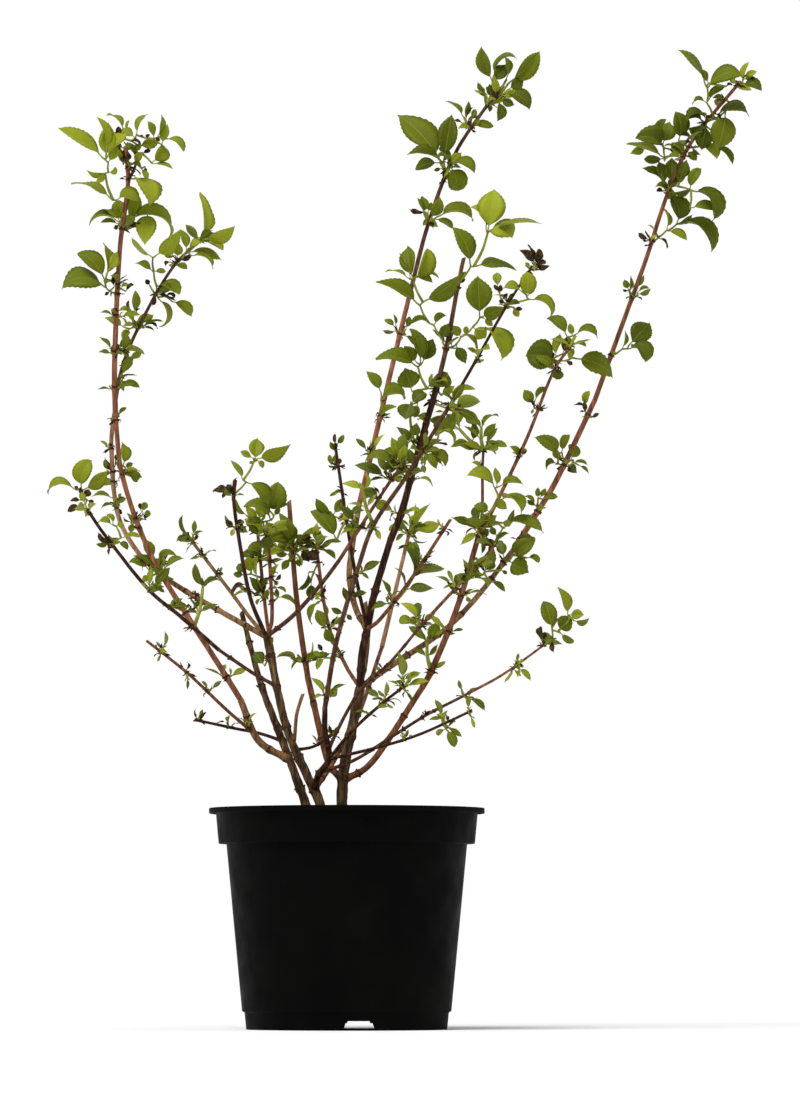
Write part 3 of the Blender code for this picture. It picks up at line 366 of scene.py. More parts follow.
# The tufts along a stem: the height of the tuft's node, which way it leans (-1 wholly left, 1 wholly
# right), the length of its largest leaf, and the number of leaves at the node, half of them in the tuft
TUFTS = {
    "left_cane_leaves": ((350, -0.1, 18, 2), (415, 0.3, 20, 2), (455, 0.2, 22, 3), (506, 0, 14, 3),
        (553, 0.8, 22, 3), (610, 0.1, 14, 2)),
    "left_crown": ((640, 0.1, 14, 2), (675, 0.5, 22, 4), (712, 0.2, 17, 2), (745, -0.5, 24, 3),
        (801, 0.1, 26, 3), (862, 0.3, 24, 3), (878, 0.1, 27, 8)),
    "arching_branch": ((430, -0.2, 13, 2),),
    "arching_leaves": ((462, 0.2, 21, 2), (520, -0.6, 17, 3), (545, -0.4, 20, 2), (578, -0.8, 10, 1)),
    "left_side_crown": ((648, 0.9, 19, 2), (665, 0.9, 16, 1), (700, 0.4, 20, 2), (735, 0.6, 24, 4),
        (766, 0, 16, 2), (788, 0.1, 25, 7)),
    "low_left_spray": ((420, 0.7, 18, 1), (437, 0.2, 20, 3), (482, 0.2, 19, 4), (516, 0.2, 24, 6)),
    "left_twig": ((300, 0, 12, 2), (336, 0.3, 12, 2), (376, 0.1, 15, 3)),
    "low_left_twig": ((301, 0, 11, 1), (308, 0.2, 10, 2)),
    "tan_shoot": ((452, 0.2, 9, 1), (472, -0.1, 12, 2), (488, -0.2, 20, 5)),
    "dark_shoot": ((437, -0.9, 14, 1), (500, 0, 20, 3), (531, -0.3, 19, 4)),
    "inner_shoot": ((425, 0, 17, 2), (465, 0.6, 16, 2), (492, 0, 28, 7)),
    "back_left_shoot": ((445, -0.7, 14, 1), (468, 0, 24, 3), (498, 0, 22, 5)),
    "upright_cane_leaves": ((365, 0, 22, 3), (478, 0, 28, 7)),
    "back_shoot": ((400, 0.6, 18, 2), (430, -0.6, 26, 2), (481, 0.2, 24, 6)),
    "front_left_spray": ((500, -0.3, 25, 4), (530, -0.3, 26, 4), (560, -0.1, 28, 6)),
    "bud_shoot": ((508, -0.4, 26, 3), (537, -0.5, 10, 1), (564, 0, 10, 2), (581, 0.1, 8, 2)),
    "whip_leaves": ((330, 0.2, 20, 2), (433, 0.9, 14, 1), (453, 0.9, 20, 2), (503, -0.3, 18, 4),
        (579, 0.5, 22, 4)),
    "whip_crown": ((621, 0.4, 26, 4), (669, 0, 28, 3), (723, 0.4, 22, 5), (762, 0.4, 11, 5)),
    "dark_cane_leaves": ((513, 0, 24, 3), (548, -0.2, 25, 4), (578, -0.2, 25, 4), (605, -0.6, 24, 3),
        (640, 0.1, 25, 4)),
    "dark_cane_crown": ((680, 0.3, 25, 5), (741, -0.3, 10, 1)),
    "back_cane_leaves": ((573, 0, 18, 2), (610, 0.5, 25, 3), (693, 0, 14, 2)),
    "top_crown": ((808, 0.2, 20, 4), (850, 0.1, 25, 4), (866, 0.1, 27, 5), (902, 0, 20, 4),
        (925, 0.3, 26, 5), (938, 0.3, 26, 4)),
    "back_right_shoot": ((480, 0.3, 24, 4), (493, 0.2, 26, 5)),
    "right_inner_shoot": ((320, 0.1, 15, 3), (342, 0.1, 16, 4)),
    "right_slender": ((357, 0, 12, 2),),
    "right_slender_leaves": ((401, 0, 23, 4), (440, 0.1, 22, 4), (460, 0.2, 22, 3), (482, 0, 25, 5)),
    "right_cane_leaves": ((356, 0.5, 16, 1), (396, 0, 18, 2), (432, 0.3, 18, 2), (455, 0.8, 24, 1),
        (490, 0.8, 22, 1), (499, 0, 24, 7)),
    "right_thin_shoot": ((559, 0, 18, 3), (578, 0.1, 24, 6)),
    "right_mid_crown": ((571, 0, 14, 2), (621, 0, 16, 2), (659, 0, 26, 5), (680, -0.1, 26, 7)),
    "far_right_leaves": ((488, 0.4, 27, 4), (515, 0, 19, 3), (562, 0.1, 24, 5), (612, 0, 14, 3)),
    "far_right_crown": ((672, 0.4, 14, 3), (730, 0.2, 15, 3), (787, 0.1, 16, 3), (838, 0.3, 24, 5),
        (872, -0.2, 30, 5), (888, -0.1, 30, 5), (905, 0.1, 28, 4), (930, 0.1, 25, 4), (946, 0, 22, 4)),
    "low_right_branch": ((310, 0.2, 12, 2),),
    "low_right_spray": ((332, 0, 18, 2), (362, 0.3, 16, 3), (382, 0.5, 22, 7)),
    "low_right_twig": ((288, 0, 9, 2), (304, 0.4, 20, 3), (317, 0.1, 12, 2)),
    "pruned_side_branch": ((425, -0.6, 18, 2), (466, 0, 12, 2), (498, -0.3, 9, 1)),
    "inner_twig": ((284, -0.3, 11, 2), (292, 0, 12, 2)),
}

# The sprigs at the nodes of a stem: the node's height, how far the sprig runs to the right and up, and
# the length of its main leaf. A long one is a leafy shoot
SPRIGS = {
    "left_cane_leaves": ((350, -14, 6, 18), (350, 12, 6, 15), (415, -8, 4, 16), (415, 14, 8, 20),
        (455, -10, 10, 22), (455, 12, 12, 22), (455, 4, 20, 18), (500, -6, 8, 14), (610, 7, 10, 14),
        (608, -6, 2, 8)),
    "left_crown": ((640, -10, 0, 12), (640, 12, 4, 14), (675, -8, 10, 18), (675, -10, 2, 12),
        (675, 10, 12, 20), (675, 20, 4, 26), (712, -8, 4, 14), (712, 12, 2, 18)),
    "arching_leaves": ((578, -8, 8, 10),),
    "left_side_crown": ((648, 10, -2, 18), (648, 8, 16, 20), (665, 14, 10, 16), (700, -4, 10, 20),
        (700, 12, 6, 20)),
    "low_left_spray": ((400, 9, 40, 24), (420, 10, 2, 18), (437, 0, 12, 18), (437, 10, 12, 22),
        (437, -6, 6, 10)),
    "left_twig": ((300, -6, 10, 10), (300, 4, 12, 12), (336, -2, 6, 10), (336, 10, 8, 12),
        (355, 0, -14, 10), (376, 4, 10, 16), (376, -2, -6, 8)),
    "low_left_twig": ((301, 0, 8, 12), (308, 4, 10, 8)),
    "tan_shoot": ((452, 2, 6, 8), (472, 8, 6, 12), (472, -8, -2, 10), (488, -10, 16, 22), (488, 2, 18, 14),
        (488, -6, 4, 12), (488, 6, 10, 12), (488, -4, -6, 10)),
    "dark_shoot": ((437, -8, -2, 14),),
    "inner_shoot": ((496, 8, 4, 18), (496, -6, 6, 20)),
    "back_left_shoot": ((468, -8, 4, 24), (468, 4, 6, 20), (501, -4, 8, 18), (501, 4, 20, 28)),
    "upright_cane_leaves": ((365, -20, 8, 22), (365, 14, 6, 20), (365, 8, 16, 16), (478, -14, 14, 30),
        (478, 14, 12, 28), (478, 20, 2, 24), (478, -16, -2, 22), (478, 8, -10, 16), (478, -6, 22, 30)),
    "back_shoot": ((400, 6, 4, 18), (430, -6, -6, 26), (483, -8, 4, 22), (483, 8, 2, 24), (483, 14, -6, 18),
        (483, 0, 10, 20)),
    "front_left_spray": ((500, -10, 10, 26), (500, 10, 0, 14), (500, -12, -2, 18), (548, -12, 6, 30),
        (548, 8, 6, 20), (548, -6, 14, 24), (565, 0, 12, 26), (565, -8, 8, 24), (565, 8, 4, 20)),
    "bud_shoot": ((508, 10, 10, 20), (537, -6, -2, 10)),
    "whip_leaves": ((330, -4, 6, 22), (330, 8, 8, 18), (433, 10, 2, 14), (453, 14, 8, 20),
        (503, -10, 32, 20), (503, -4, -4, 10), (503, 4, -8, 12), (579, 10, -4, 22), (579, 12, 4, 10),
        (579, 6, -8, 20), (579, 20, 0, 10)),
    "whip_crown": ((621, 14, 6, 26), (621, -12, -12, 26), (621, 16, -6, 22), (621, 10, 16, 20)),
    "dark_cane_leaves": ((513, -14, 8, 26), (513, 14, 6, 14), (548, -12, 10, 26), (548, 12, 2, 20),
        (578, -12, 14, 24), (578, 12, -6, 24)),
    "back_cane_leaves": ((573, -10, 12, 16), (573, 8, 14, 18)),
    "back_right_shoot": ((496, 10, 14, 30), (496, 6, 22, 22), (496, -8, 4, 20), (496, 8, -6, 16),
        (496, 16, 6, 28)),
    "right_inner_shoot": ((314, -8, 2, 12), (326, -10, 8, 16), (326, 2, 12, 14), (326, 12, 4, 14),
        (326, 6, -4, 8), (342, -2, 20, 26), (342, -10, 4, 12), (342, 8, 8, 14), (342, 6, -10, 14),
        (342, 12, 4, 20)),
    "right_slender_leaves": ((401, -12, 6, 22), (401, -2, 16, 20), (401, 8, 8, 16), (401, -6, 12, 24),
        (440, -12, 8, 16), (440, -8, 18, 12), (440, 8, 8, 20), (450, 8, 8, 24), (450, 14, 0, 24)),
    "right_cane_leaves": ((356, -4, 30, 22), (356, 8, 6, 16), (396, 12, 2, 10), (396, -10, 8, 20),
        (432, -6, 6, 16), (432, 14, 4, 20), (455, 16, 10, 24), (490, 10, -4, 22), (501, -14, 6, 24),
        (501, -10, -8, 20), (501, 6, 10, 20), (501, 12, 4, 24), (501, -4, 16, 20)),
    "right_thin_shoot": ((580, -24, 24, 30), (580, -2, 24, 26), (580, 8, 14, 20), (580, 10, 4, 20),
        (580, -12, 2, 20)),
    "low_right_spray": ((332, -4, 12, 12), (332, 12, -6, 20), (362, -6, -8, 16), (362, 2, 8, 10),
        (362, 10, -8, 16)),
    "low_right_twig": ((288, -2, 8, 8), (288, 4, 8, 8), (304, -4, 14, 20), (304, 8, -14, 20),
        (304, 12, -8, 16), (317, 0, 8, 12), (317, 4, -10, 12)),
    "pruned_side_branch": ((425, -14, -2, 18), (425, -8, 16, 18), (425, 20, 26, 34), (466, -6, 12, 12),
        (466, 6, 6, 12), (498, -6, 10, 8)),
    "inner_twig": ((284, -4, 6, 8), (294, -4, 4, 10), (294, 4, 6, 8)),
}

# Leaves that stand out, by limb, node height and green. Each has the place of its petiole's foot (x, z),
# that of its tip (x, z), how far it bulges to the left on its way there, and how wide it looks
LEAVES = {
    "left_crown": (
        (735, "mid", ((-242, 742, -287, 739, -8, 22), (-242, 748, -271, 775, -4, 16))),
        (735, "bright", ((-242, 750, -246, 787, -3, 11), (-240, 758, -231, 778, -1, 9),
            (-228, 741, -218, 741, 3, 4))),
        (801, "bright", ((-235, 830, -278, 846, -4, 10), (-232, 830, -209, 828, 4, 12),
            (-243, 871, -291, 902, 0, 13), (-242, 872, -240, 909, 0, 16), (-242, 880, -252, 914, -3, 9),
            (-242, 872, -221, 897, 2, 12), (-240, 868, -230, 884, 0, 9), (-240, 858, -262, 861, 2, 6),
            (-243, 857, -253, 847, 0, 6), (-240, 858, -233, 864, -2, 4), (-200, 819, -203, 784, 0, 19))),
        (801, "fresh", ((-229, 808, -259, 804, -6, 9), (-228, 808, -244, 818, -5, 14),
            (-227, 807, -229, 830, 0, 14), (-229, 806, -248, 807, -1, 5), (-222, 808, -214, 840, -2, 12),
            (-221, 811, -178, 792, 14, 15))),
        (850, "bright", ((-218, 852, -200, 822, 11, 15), (-207, 862, -201, 850, 1, 5))),
        (872, "fresh", ((-225, 866, -233, 883, -1, 7), (-213, 893, -226, 903, 0, 8),
            (-224, 900, -243, 915, -4, 6), (-194, 892, -201, 910, -1, 6), (-182, 892, -164, 878, 4, 9),
            (-196, 868, -183, 884, -2, 13), (-214, 868, -205, 879, 0, 8), (-212, 872, -219, 888, 0, 5),
            (-212, 878, -208, 890, 0, 5), (-221, 900, -219, 911, 0, 3), (-212, 896, -200, 917, 2, 6),
            (-210, 885, -189, 888, 0, 11), (-190, 894, -187, 917, -1, 6), (-186, 886, -180, 907, 0, 8),
            (-196, 867, -175, 861, 1, 3))),
    ),
    "left_side_crown": (
        (700, "fresh", ((-214, 715, -213, 739, -1, 6), (-217, 715, -229, 718, -2, 6),
            (-214, 702, -194, 714, 0, 10), (-224, 702, -243, 711, -1, 8), (-218, 700, -226, 690, 0, 8))),
        (735, "fresh", ((-195, 758, -213, 766, -2, 7), (-194, 758, -182, 758, 0, 5),
            (-191, 743, -168, 734, 5, 9), (-176, 728, -156, 712, 3, 10), (-190, 732, -189, 702, 7, 5))),
        (735, "bright", ((-195, 772, -216, 793, 1, 3), (-193, 773, -167, 801, -2, 14))),
        (766, "fresh", ((-173, 764, -160, 761, 1, 6), (-161, 779, -167, 800, -1, 8),
            (-160, 778, -126, 769, 2, 7), (-157, 774, -135, 760, 5, 6), (-170, 772, -169, 787, 0, 9),
            (-172, 774, -184, 776, 0, 3))),
        (766, "bright", ((-145, 790, -149, 838, -2, 7), (-144, 790, -112, 805, -3, 10),
            (-143, 789, -124, 779, 2, 8), (-160, 780, -143, 791, 1, 7))),
    ),
    "top_crown": (
        (808, "mid", ((77, 816, 70, 832, 0, 4), (78, 816, 75, 834, 0, 8), (84, 812, 93, 834, -2, 10),
            (90, 813, 126, 808, 7, 12), (88, 811, 107, 800, 2, 8), (80, 812, 76, 804, 0, 4),
            (81, 818, 85, 828, 0, 6))),
        (858, "mid", ((95, 868, 50, 915, -3, 24), (102, 862, 128, 856, 8, 9), (104, 864, 109, 839, 2, 20))),
        (858, "deep", ((96, 868, 59, 875, -4, 12), (93, 868, 69, 860, -2, 11), (95, 862, 87, 860, 0, 4),
            (97, 870, 105, 917, 0, 21), (102, 861, 112, 853, 0, 7))),
        (858, "fresh", ((102, 866, 115, 878, 0, 9), (96, 868, 99, 879, 0, 4))),
        (902, "mid", ((117, 914, 98, 930, -2, 5), (118, 913, 122, 930, 0, 6), (119, 908, 135, 913, 2, 3),
            (127, 903, 133, 912, 0, 5), (126, 905, 147, 904, 1, 8), (125, 912, 129, 922, 0, 6))),
        (925, "mid", ((140, 937, 131, 950, 0, 3), (138, 935, 133, 946, 0, 3), (146, 950, 135, 986, 1, 12),
            (147, 955, 171, 973, 7, 4), (160, 952, 157, 976, -3, 5), (162, 948, 193, 981, -2, 17))),
        (925, "deep", ((148, 949, 159, 967, 0, 13), (162, 942, 177, 951, 0, 11),
            (158, 938, 183, 920, 5, 13), (152, 930, 150, 909, 3, 9), (154, 931, 168, 926, 0, 9),
            (144, 928, 143, 919, 0, 5), (144, 934, 143, 948, 0, 7))),
        (925, "bright", ((155, 935, 171, 940, 0, 8),)),
    ),
    "far_right_crown": (
        (672, "deep", ((282, 683, 303, 706, 0, 19), (281, 680, 299, 666, 7, 13))),
        (672, "mid", ((276, 680, 278, 699, -1, 4),)),
        (730, "mid", ((283, 738, 284, 754, 0, 5), (282, 740, 278, 750, 0, 7), (286, 742, 298, 755, -1, 5),
            (291, 735, 305, 741, -1, 5), (291, 737, 303, 741, 1, 4))),
        (787, "deep", ((331, 806, 365, 776, 12, 12), (331, 806, 324, 833, -4, 17),
            (331, 806, 347, 816, 0, 6))),
        (787, "fresh", ((322, 799, 341, 789, 2, 8), (321, 800, 315, 822, -3, 4),
            (308, 800, 302, 805, 0, 2))),
        (838, "deep", ((320, 845, 313, 869, 0, 12), (326, 845, 326, 873, 0, 15),
            (334, 850, 341, 871, 0, 12), (322, 840, 331, 856, 0, 9), (318, 848, 296, 862, -2, 7),
            (321, 836, 309, 843, -3, 8), (325, 838, 345, 841, 0, 6), (345, 840, 366, 808, 10, 14))),
        (838, "mid", ((344, 841, 356, 862, 2, 10), (344, 822, 373, 820, 2, 9), (332, 844, 337, 862, 0, 9))),
        (883, "deep", ((333, 890, 329, 920, -3, 14), (313, 890, 321, 912, 3, 8),
            (318, 883, 289, 892, -4, 19), (341, 880, 351, 870, 0, 8), (346, 883, 355, 876, 0, 4),
            (368, 884, 387, 865, 3, 8), (318, 872, 298, 872, 1, 8))),
        (883, "mid", ((317, 886, 324, 909, 0, 16), (319, 873, 280, 886, -1, 9), (300, 882, 284, 877, 0, 8),
            (340, 874, 326, 888, 0, 13))),
        (883, "fresh", ((358, 885, 371, 871, 3, 12),)),
        (905, "deep", ((362, 912, 341, 908, -7, 12), (370, 912, 404, 914, 10, 15),
            (361, 908, 356, 881, 0, 15), (363, 948, 358, 962, 0, 6), (360, 905, 342, 903, 3, 12),
            (366, 900, 378, 888, 0, 14))),
        (905, "mid", ((361, 945, 331, 982, -4, 8), (362, 930, 382, 946, 1, 7), (361, 929, 347, 926, -7, 6),
            (380, 920, 370, 882, 2, 21), (362, 943, 398, 955, 6, 16))),
        (950, "deep", ((397, 948, 417, 940, 2, 12),)),
        (950, "bright", ((397, 950, 404, 970, 1, 6), (399, 956, 412, 960, 0, 6),
            (398, 952, 410, 954, 0, 5))),
    ),
    "dark_cane_crown": (
        (680, "mid", ((73, 724, 28, 747, -2, 17), (76, 727, 113, 756, -2, 12), (66, 750, 61, 784, 1, 15),
            (69, 752, 86, 746, 2, 6), (133, 711, 131, 754, 0, 25), (82, 706, 64, 705, -3, 5),
            (87, 704, 100, 713, 2, 8), (134, 712, 159, 723, 0, 12))),
        (680, "deep", ((109, 684, 119, 665, 0, 10), (95, 690, 102, 706, 0, 10))),
        (680, "fresh", ((68, 751, 80, 782, -4, 15), (64, 750, 52, 776, 0, 4), (62, 751, 38, 757, -3, 4),
            (77, 757, 92, 751, 0, 3), (114, 692, 105, 704, 0, 9), (105, 682, 107, 698, 0, 4),
            (137, 711, 146, 703, 0, 6), (126, 702, 139, 691, 0, 12), (118, 694, 120, 703, 0, 5))),
        (741, "mid", ((124, 763, 104, 803, -4, 15), (127, 763, 170, 758, 4, 11),
            (113, 748, 119, 758, 0, 5))),
        (741, "bright", ((140, 798, 121, 821, -6, 9), (141, 797, 148, 841, 0, 25),
            (141, 797, 166, 791, 7, 19), (145, 800, 196, 805, 3, 6))),
    ),
    "whip_crown": (
        (675, "mid", ((130, 681, 114, 694, -3, 5), (131, 675, 120, 681, 0, 5))),
        (675, "fresh", ((130, 700, 154, 667, 15, 14),)),
        (723, "fresh", ((151, 742, 150, 757, 0, 8), (175, 738, 156, 740, -3, 8),
            (180, 732, 180, 758, -1, 14), (181, 733, 188, 742, 0, 5), (182, 730, 203, 711, 7, 9),
            (166, 722, 172, 712, 0, 6))),
    ),
    "far_right_cane": (
        (465, "mid", ((162, 467, 182, 455, 0, 18), (166, 473, 189, 488, 1, 16), (180, 470, 192, 465, 2, 6),
            (157, 471, 152, 488, 0, 9), (137, 455, 143, 487, 0, 11))),
        (465, "deep", ((137, 456, 146, 468, 0, 12), (143, 447, 158, 436, 0, 6),
            (154, 458, 160, 454, 0, 4))),
    ),
    "right_slender_leaves": (
        (484, "fresh", ((148, 540, 119, 552, -6, 12), (150, 541, 148, 561, 0, 6),
            (152, 528, 174, 513, 9, 11), (158, 500, 162, 509, 0, 7), (149, 527, 160, 519, 0, 9))),
        (484, "mid", ((153, 542, 177, 543, 3, 9), (158, 505, 197, 494, 5, 12), (142, 508, 117, 510, 1, 8),
            (143, 516, 127, 522, -1, 9), (150, 505, 139, 512, 0, 7))),
        (484, "deep", ((156, 500, 167, 519, -1, 6), (150, 492, 143, 500, 0, 7))),
    ),
    "far_right_leaves": (
        (515, "mid", ((189, 522, 174, 530, -3, 5), (191, 530, 191, 541, 0, 5), (193, 530, 199, 540, 0, 5),
            (196, 529, 211, 531, 1, 6))),
        (515, "deep", ((190, 522, 180, 528, 0, 5),)),
        (562, "mid", ((213, 575, 187, 591, -2, 13), (215, 576, 222, 594, 1, 9), (224, 568, 222, 584, -3, 9),
            (226, 566, 241, 563, 1, 4), (232, 563, 242, 554, 1, 4))),
        (562, "deep", ((211, 565, 200, 558, -3, 7), (220, 565, 230, 555, 0, 8))),
        (612, "fresh", ((239, 624, 243, 638, 1, 8),)),
    ),
    "right_mid_crown": (
        (571, "mid", ((172, 571, 162, 582, -2, 5), (175, 572, 179, 580, 0, 6))),
        (618, "mid", ((187, 624, 177, 639, 0, 10), (188, 628, 200, 642, 1, 6), (187, 620, 184, 615, 0, 2))),
        (659, "deep", ((210, 668, 179, 672, -2, 27), (216, 675, 223, 692, 0, 10),
            (212, 662, 210, 649, 0, 11))),
        (659, "mid", ((226, 671, 266, 650, 4, 20),)),
        (659, "bright", ((209, 672, 214, 696, 0, 7), (209, 663, 206, 673, 0, 4))),
        (685, "mid", ((221, 692, 200, 710, -3, 12), (228, 694, 251, 690, 6, 12))),
        (685, "fresh", ((226, 693, 223, 706, 0, 6), (229, 685, 240, 682, 1, 5),
            (228, 682, 222, 670, 0, 7))),
    ),
    "low_right_spray": (
        (384, "mid", ((205, 398, 196, 427, -1, 14), (213, 395, 227, 386, -1, 7),
            (227, 407, 242, 410, -2, 6))),
        (384, "deep", ((211, 397, 225, 411, 0, 15),)),
        (384, "fresh", ((221, 412, 210, 441, -2, 9), (222, 413, 237, 413, 0, 10),
            (205, 398, 212, 410, 0, 3))),
    ),
    "dark_shoot": (
        (500, "mid", ((-114, 502, -122, 513, 0, 4), (-107, 501, -100, 502, 0, 2))),
        (500, "bright", ((-113, 500, -116, 492, 0, 5),)),
        (531, "fresh", ((-104, 548, -117, 568, -1, 5), (-92, 567, -90, 590, 0, 15),
            (-91, 569, -56, 585, -2, 11), (-94, 570, -107, 577, 0, 7), (-90, 568, -84, 560, 1, 5),
            (-93, 567, -98, 565, 0, 3))),
        (531, "mid", ((-101, 546, -80, 522, 5, 12), (-111, 533, -103, 533, 0, 2))),
    ),
    "inner_shoot": (
        (425, "mid", ((-71, 441, -69, 430, 0, 5), (-69, 431, -52, 423, 2, 6))),
        (425, "fresh", ((-78, 440, -84, 429, 0, 5), (-72, 440, -61, 435, 2, 3),
            (-73, 442, -69, 447, 0, 4))),
        (450, "fresh", ((-75, 450, -76, 462, 0, 4), (-74, 452, -68, 464, 0, 5))),
        (496, "dusky", ((-70, 481, -87, 487, 0, 14),)),
        (496, "mid", ((-78, 518, -69, 547, -2, 20), (-76, 508, -104, 521, -6, 13),
            (-73, 512, -67, 521, 0, 5), (-84, 506, -101, 506, -1, 8), (-100, 512, -111, 529, 1, 5))),
        (496, "deep", ((-79, 519, -58, 523, 2, 8), (-88, 492, -99, 503, 0, 6))),
    ),
    "bud_shoot": (
        (508, "mid", ((-10, 488, -37, 517, -3, 17), (-14, 512, -31, 530, 1, 7), (-14, 513, -2, 530, 0, 9))),
        (562, "mid", ((-12, 562, -18, 574, 0, 4), (-12, 564, -13, 573, 0, 4), (-11, 577, -17, 587, 0, 5),
            (-10, 584, -3, 594, 0, 5))),
    ),
    "back_left_shoot": (
        (430, "deep", ((-86, 432, -98, 451, 0, 7), (-86, 436, -93, 434, 0, 3), (-85, 440, -80, 451, 0, 5))),
        (430, "fresh", ((-86, 430, -90, 423, -1, 3), (-90, 450, -90, 470, 0, 4))),
        (450, "fresh", ((-96, 454, -99, 472, 0, 11), (-95, 460, -89, 472, 0, 6))),
        (450, "dusky", ((-102, 454, -109, 464, 0, 9), (-102, 453, -114, 454, 0, 6))),
        (468, "mid", ((-85, 473, -100, 477, -6, 9), (-86, 470, -96, 484, 0, 9))),
    ),
    "upright_cane_leaves": (
        (478, "mid", ((-57, 470, -65, 458, 0, 7), (-58, 474, -71, 474, 0, 4))),
        (478, "deep", ((-50, 470, -47, 461, 0, 6), (-50, 484, -70, 505, 0, 18))),
        (478, "dusky", ((-60, 478, -50, 484, 0, 9),)),
    ),
    "back_cane_leaves": (
        (610, "mid", ((34, 636, 19, 657, -2, 10), (34, 628, 57, 628, 8, 12))),
        (693, "mid", ((49, 703, 46, 715, 0, 3), (48, 702, 37, 709, -1, 5), (49, 698, 35, 699, 0, 3))),
        (693, "deep", ((59, 700, 63, 713, 0, 6), (57, 694, 68, 684, 1, 6))),
    ),
    "dark_cane_leaves": (
        (585, "deep", ((64, 627, 58, 609, 0, 18), (64, 624, 80, 635, 2, 11))),
        (585, "mid", ((71, 626, 67, 611, 0, 8), (66, 591, 70, 606, 0, 10), (60, 584, 50, 586, -2, 6))),
        (626, "mid", ((106, 617, 92, 600, 2, 15),)),
        (640, "mid", ((70, 666, 57, 683, 0, 13), (71, 662, 28, 669, -4, 15), (65, 637, 58, 661, 0, 20),
            (74, 664, 62, 700, -3, 15))),
        (640, "deep", ((75, 665, 86, 690, 0, 14), (80, 640, 103, 642, 7, 11))),
        (640, "fresh", ((97, 636, 100, 657, -1, 6), (104, 636, 129, 639, 0, 7), (94, 633, 108, 643, 0, 8))),
    ),
    "low_left_spray": (
        (482, "fresh", ((-234, 503, -249, 505, -2, 7), (-234, 504, -241, 513, -2, 4),
            (-231, 502, -223, 505, 0, 6), (-232, 488, -239, 494, 0, 3), (-226, 490, -206, 491, 1, 4))),
        (482, "deep", ((-228, 486, -219, 478, 1, 6), (-238, 484, -251, 484, 0, 5))),
        (519, "fresh", ((-270, 538, -299, 533, -8, 7), (-266, 540, -255, 568, 3, 16),
            (-264, 538, -240, 558, -2, 10), (-262, 524, -266, 536, 0, 6))),
    ),
    "arching_leaves": (
        (462, "mid", ((-198, 458, -218, 465, -4, 8), (-190, 468, -170, 472, 3, 7),
            (-190, 455, -173, 449, 0, 6))),
        (462, "fresh", ((-196, 463, -214, 472, 0, 5), (-195, 465, -206, 490, -2, 8),
            (-195, 458, -190, 470, 0, 8), (-197, 450, -205, 449, 0, 6), (-187, 462, -179, 467, 0, 2))),
        (525, "mid", ((-234, 530, -256, 531, -2, 4), (-233, 523, -246, 519, -2, 3),
            (-232, 526, -221, 530, 0, 6), (-231, 530, -230, 519, 0, 7), (-229, 530, -226, 535, 0, 3))),
        (556, "mid", ((-240, 558, -243, 569, 0, 5),)),
    ),
    "left_cane_leaves": (
        (508, "mid", ((-213, 506, -217, 496, 0, 7), (-205, 516, -201, 526, 0, 7),
            (-204, 515, -196, 514, 0, 6), (-215, 504, -220, 515, 0, 3))),
        (556, "fresh", ((-224, 562, -226, 586, -3, 9),)),
        (556, "mid", ((-222, 561, -214, 565, 0, 6), (-222, 558, -210, 546, 2, 8),
            (-229, 560, -227, 572, 0, 6))),
    ),
    "middle_stem": ((372, "deep", ((-82, 362, -92, 376, 0, 11), (-78, 378, -73, 391, 0, 4))),),
    "back_shoot": (
        (372, "mid", ((-21, 397, -30, 418, 0, 10), (-14, 384, -22, 400, 0, 9))),
        (372, "fresh", ((-22, 370, -30, 358, -1, 6), (-23, 372, -34, 376, 0, 5),
            (-19, 370, -11, 366, 1, 4))),
        (465, "deep", ((-36, 446, -35, 427, 0, 10), (-38, 456, -50, 438, 2, 6))),
        (465, "dusky", ((-33, 456, -28, 442, 0, 3),)),
    ),
    "back_cane": (
        (430, "deep", ((-1, 426, -4, 441, 0, 6), (-3, 414, -16, 420, 0, 6), (-1, 414, 5, 408, 0, 5))),
    ),
    "front_left_spray": (
        (565, "fresh", ((50, 566, 44, 591, 0, 8), (56, 562, 58, 585, 0, 11))),
        (565, "mid", ((52, 567, 39, 577, -1, 8), (47, 561, 18, 566, -5, 10))),
        (565, "dusky", ((66, 562, 62, 580, 0, 8),)),
    ),
    "whip_leaves": (
        (579, "mid", ((80, 573, 98, 561, 4, 10), (75, 564, 78, 555, 0, 5))),
        (579, "fresh", ((92, 597, 107, 585, 4, 5),)),
    ),
}

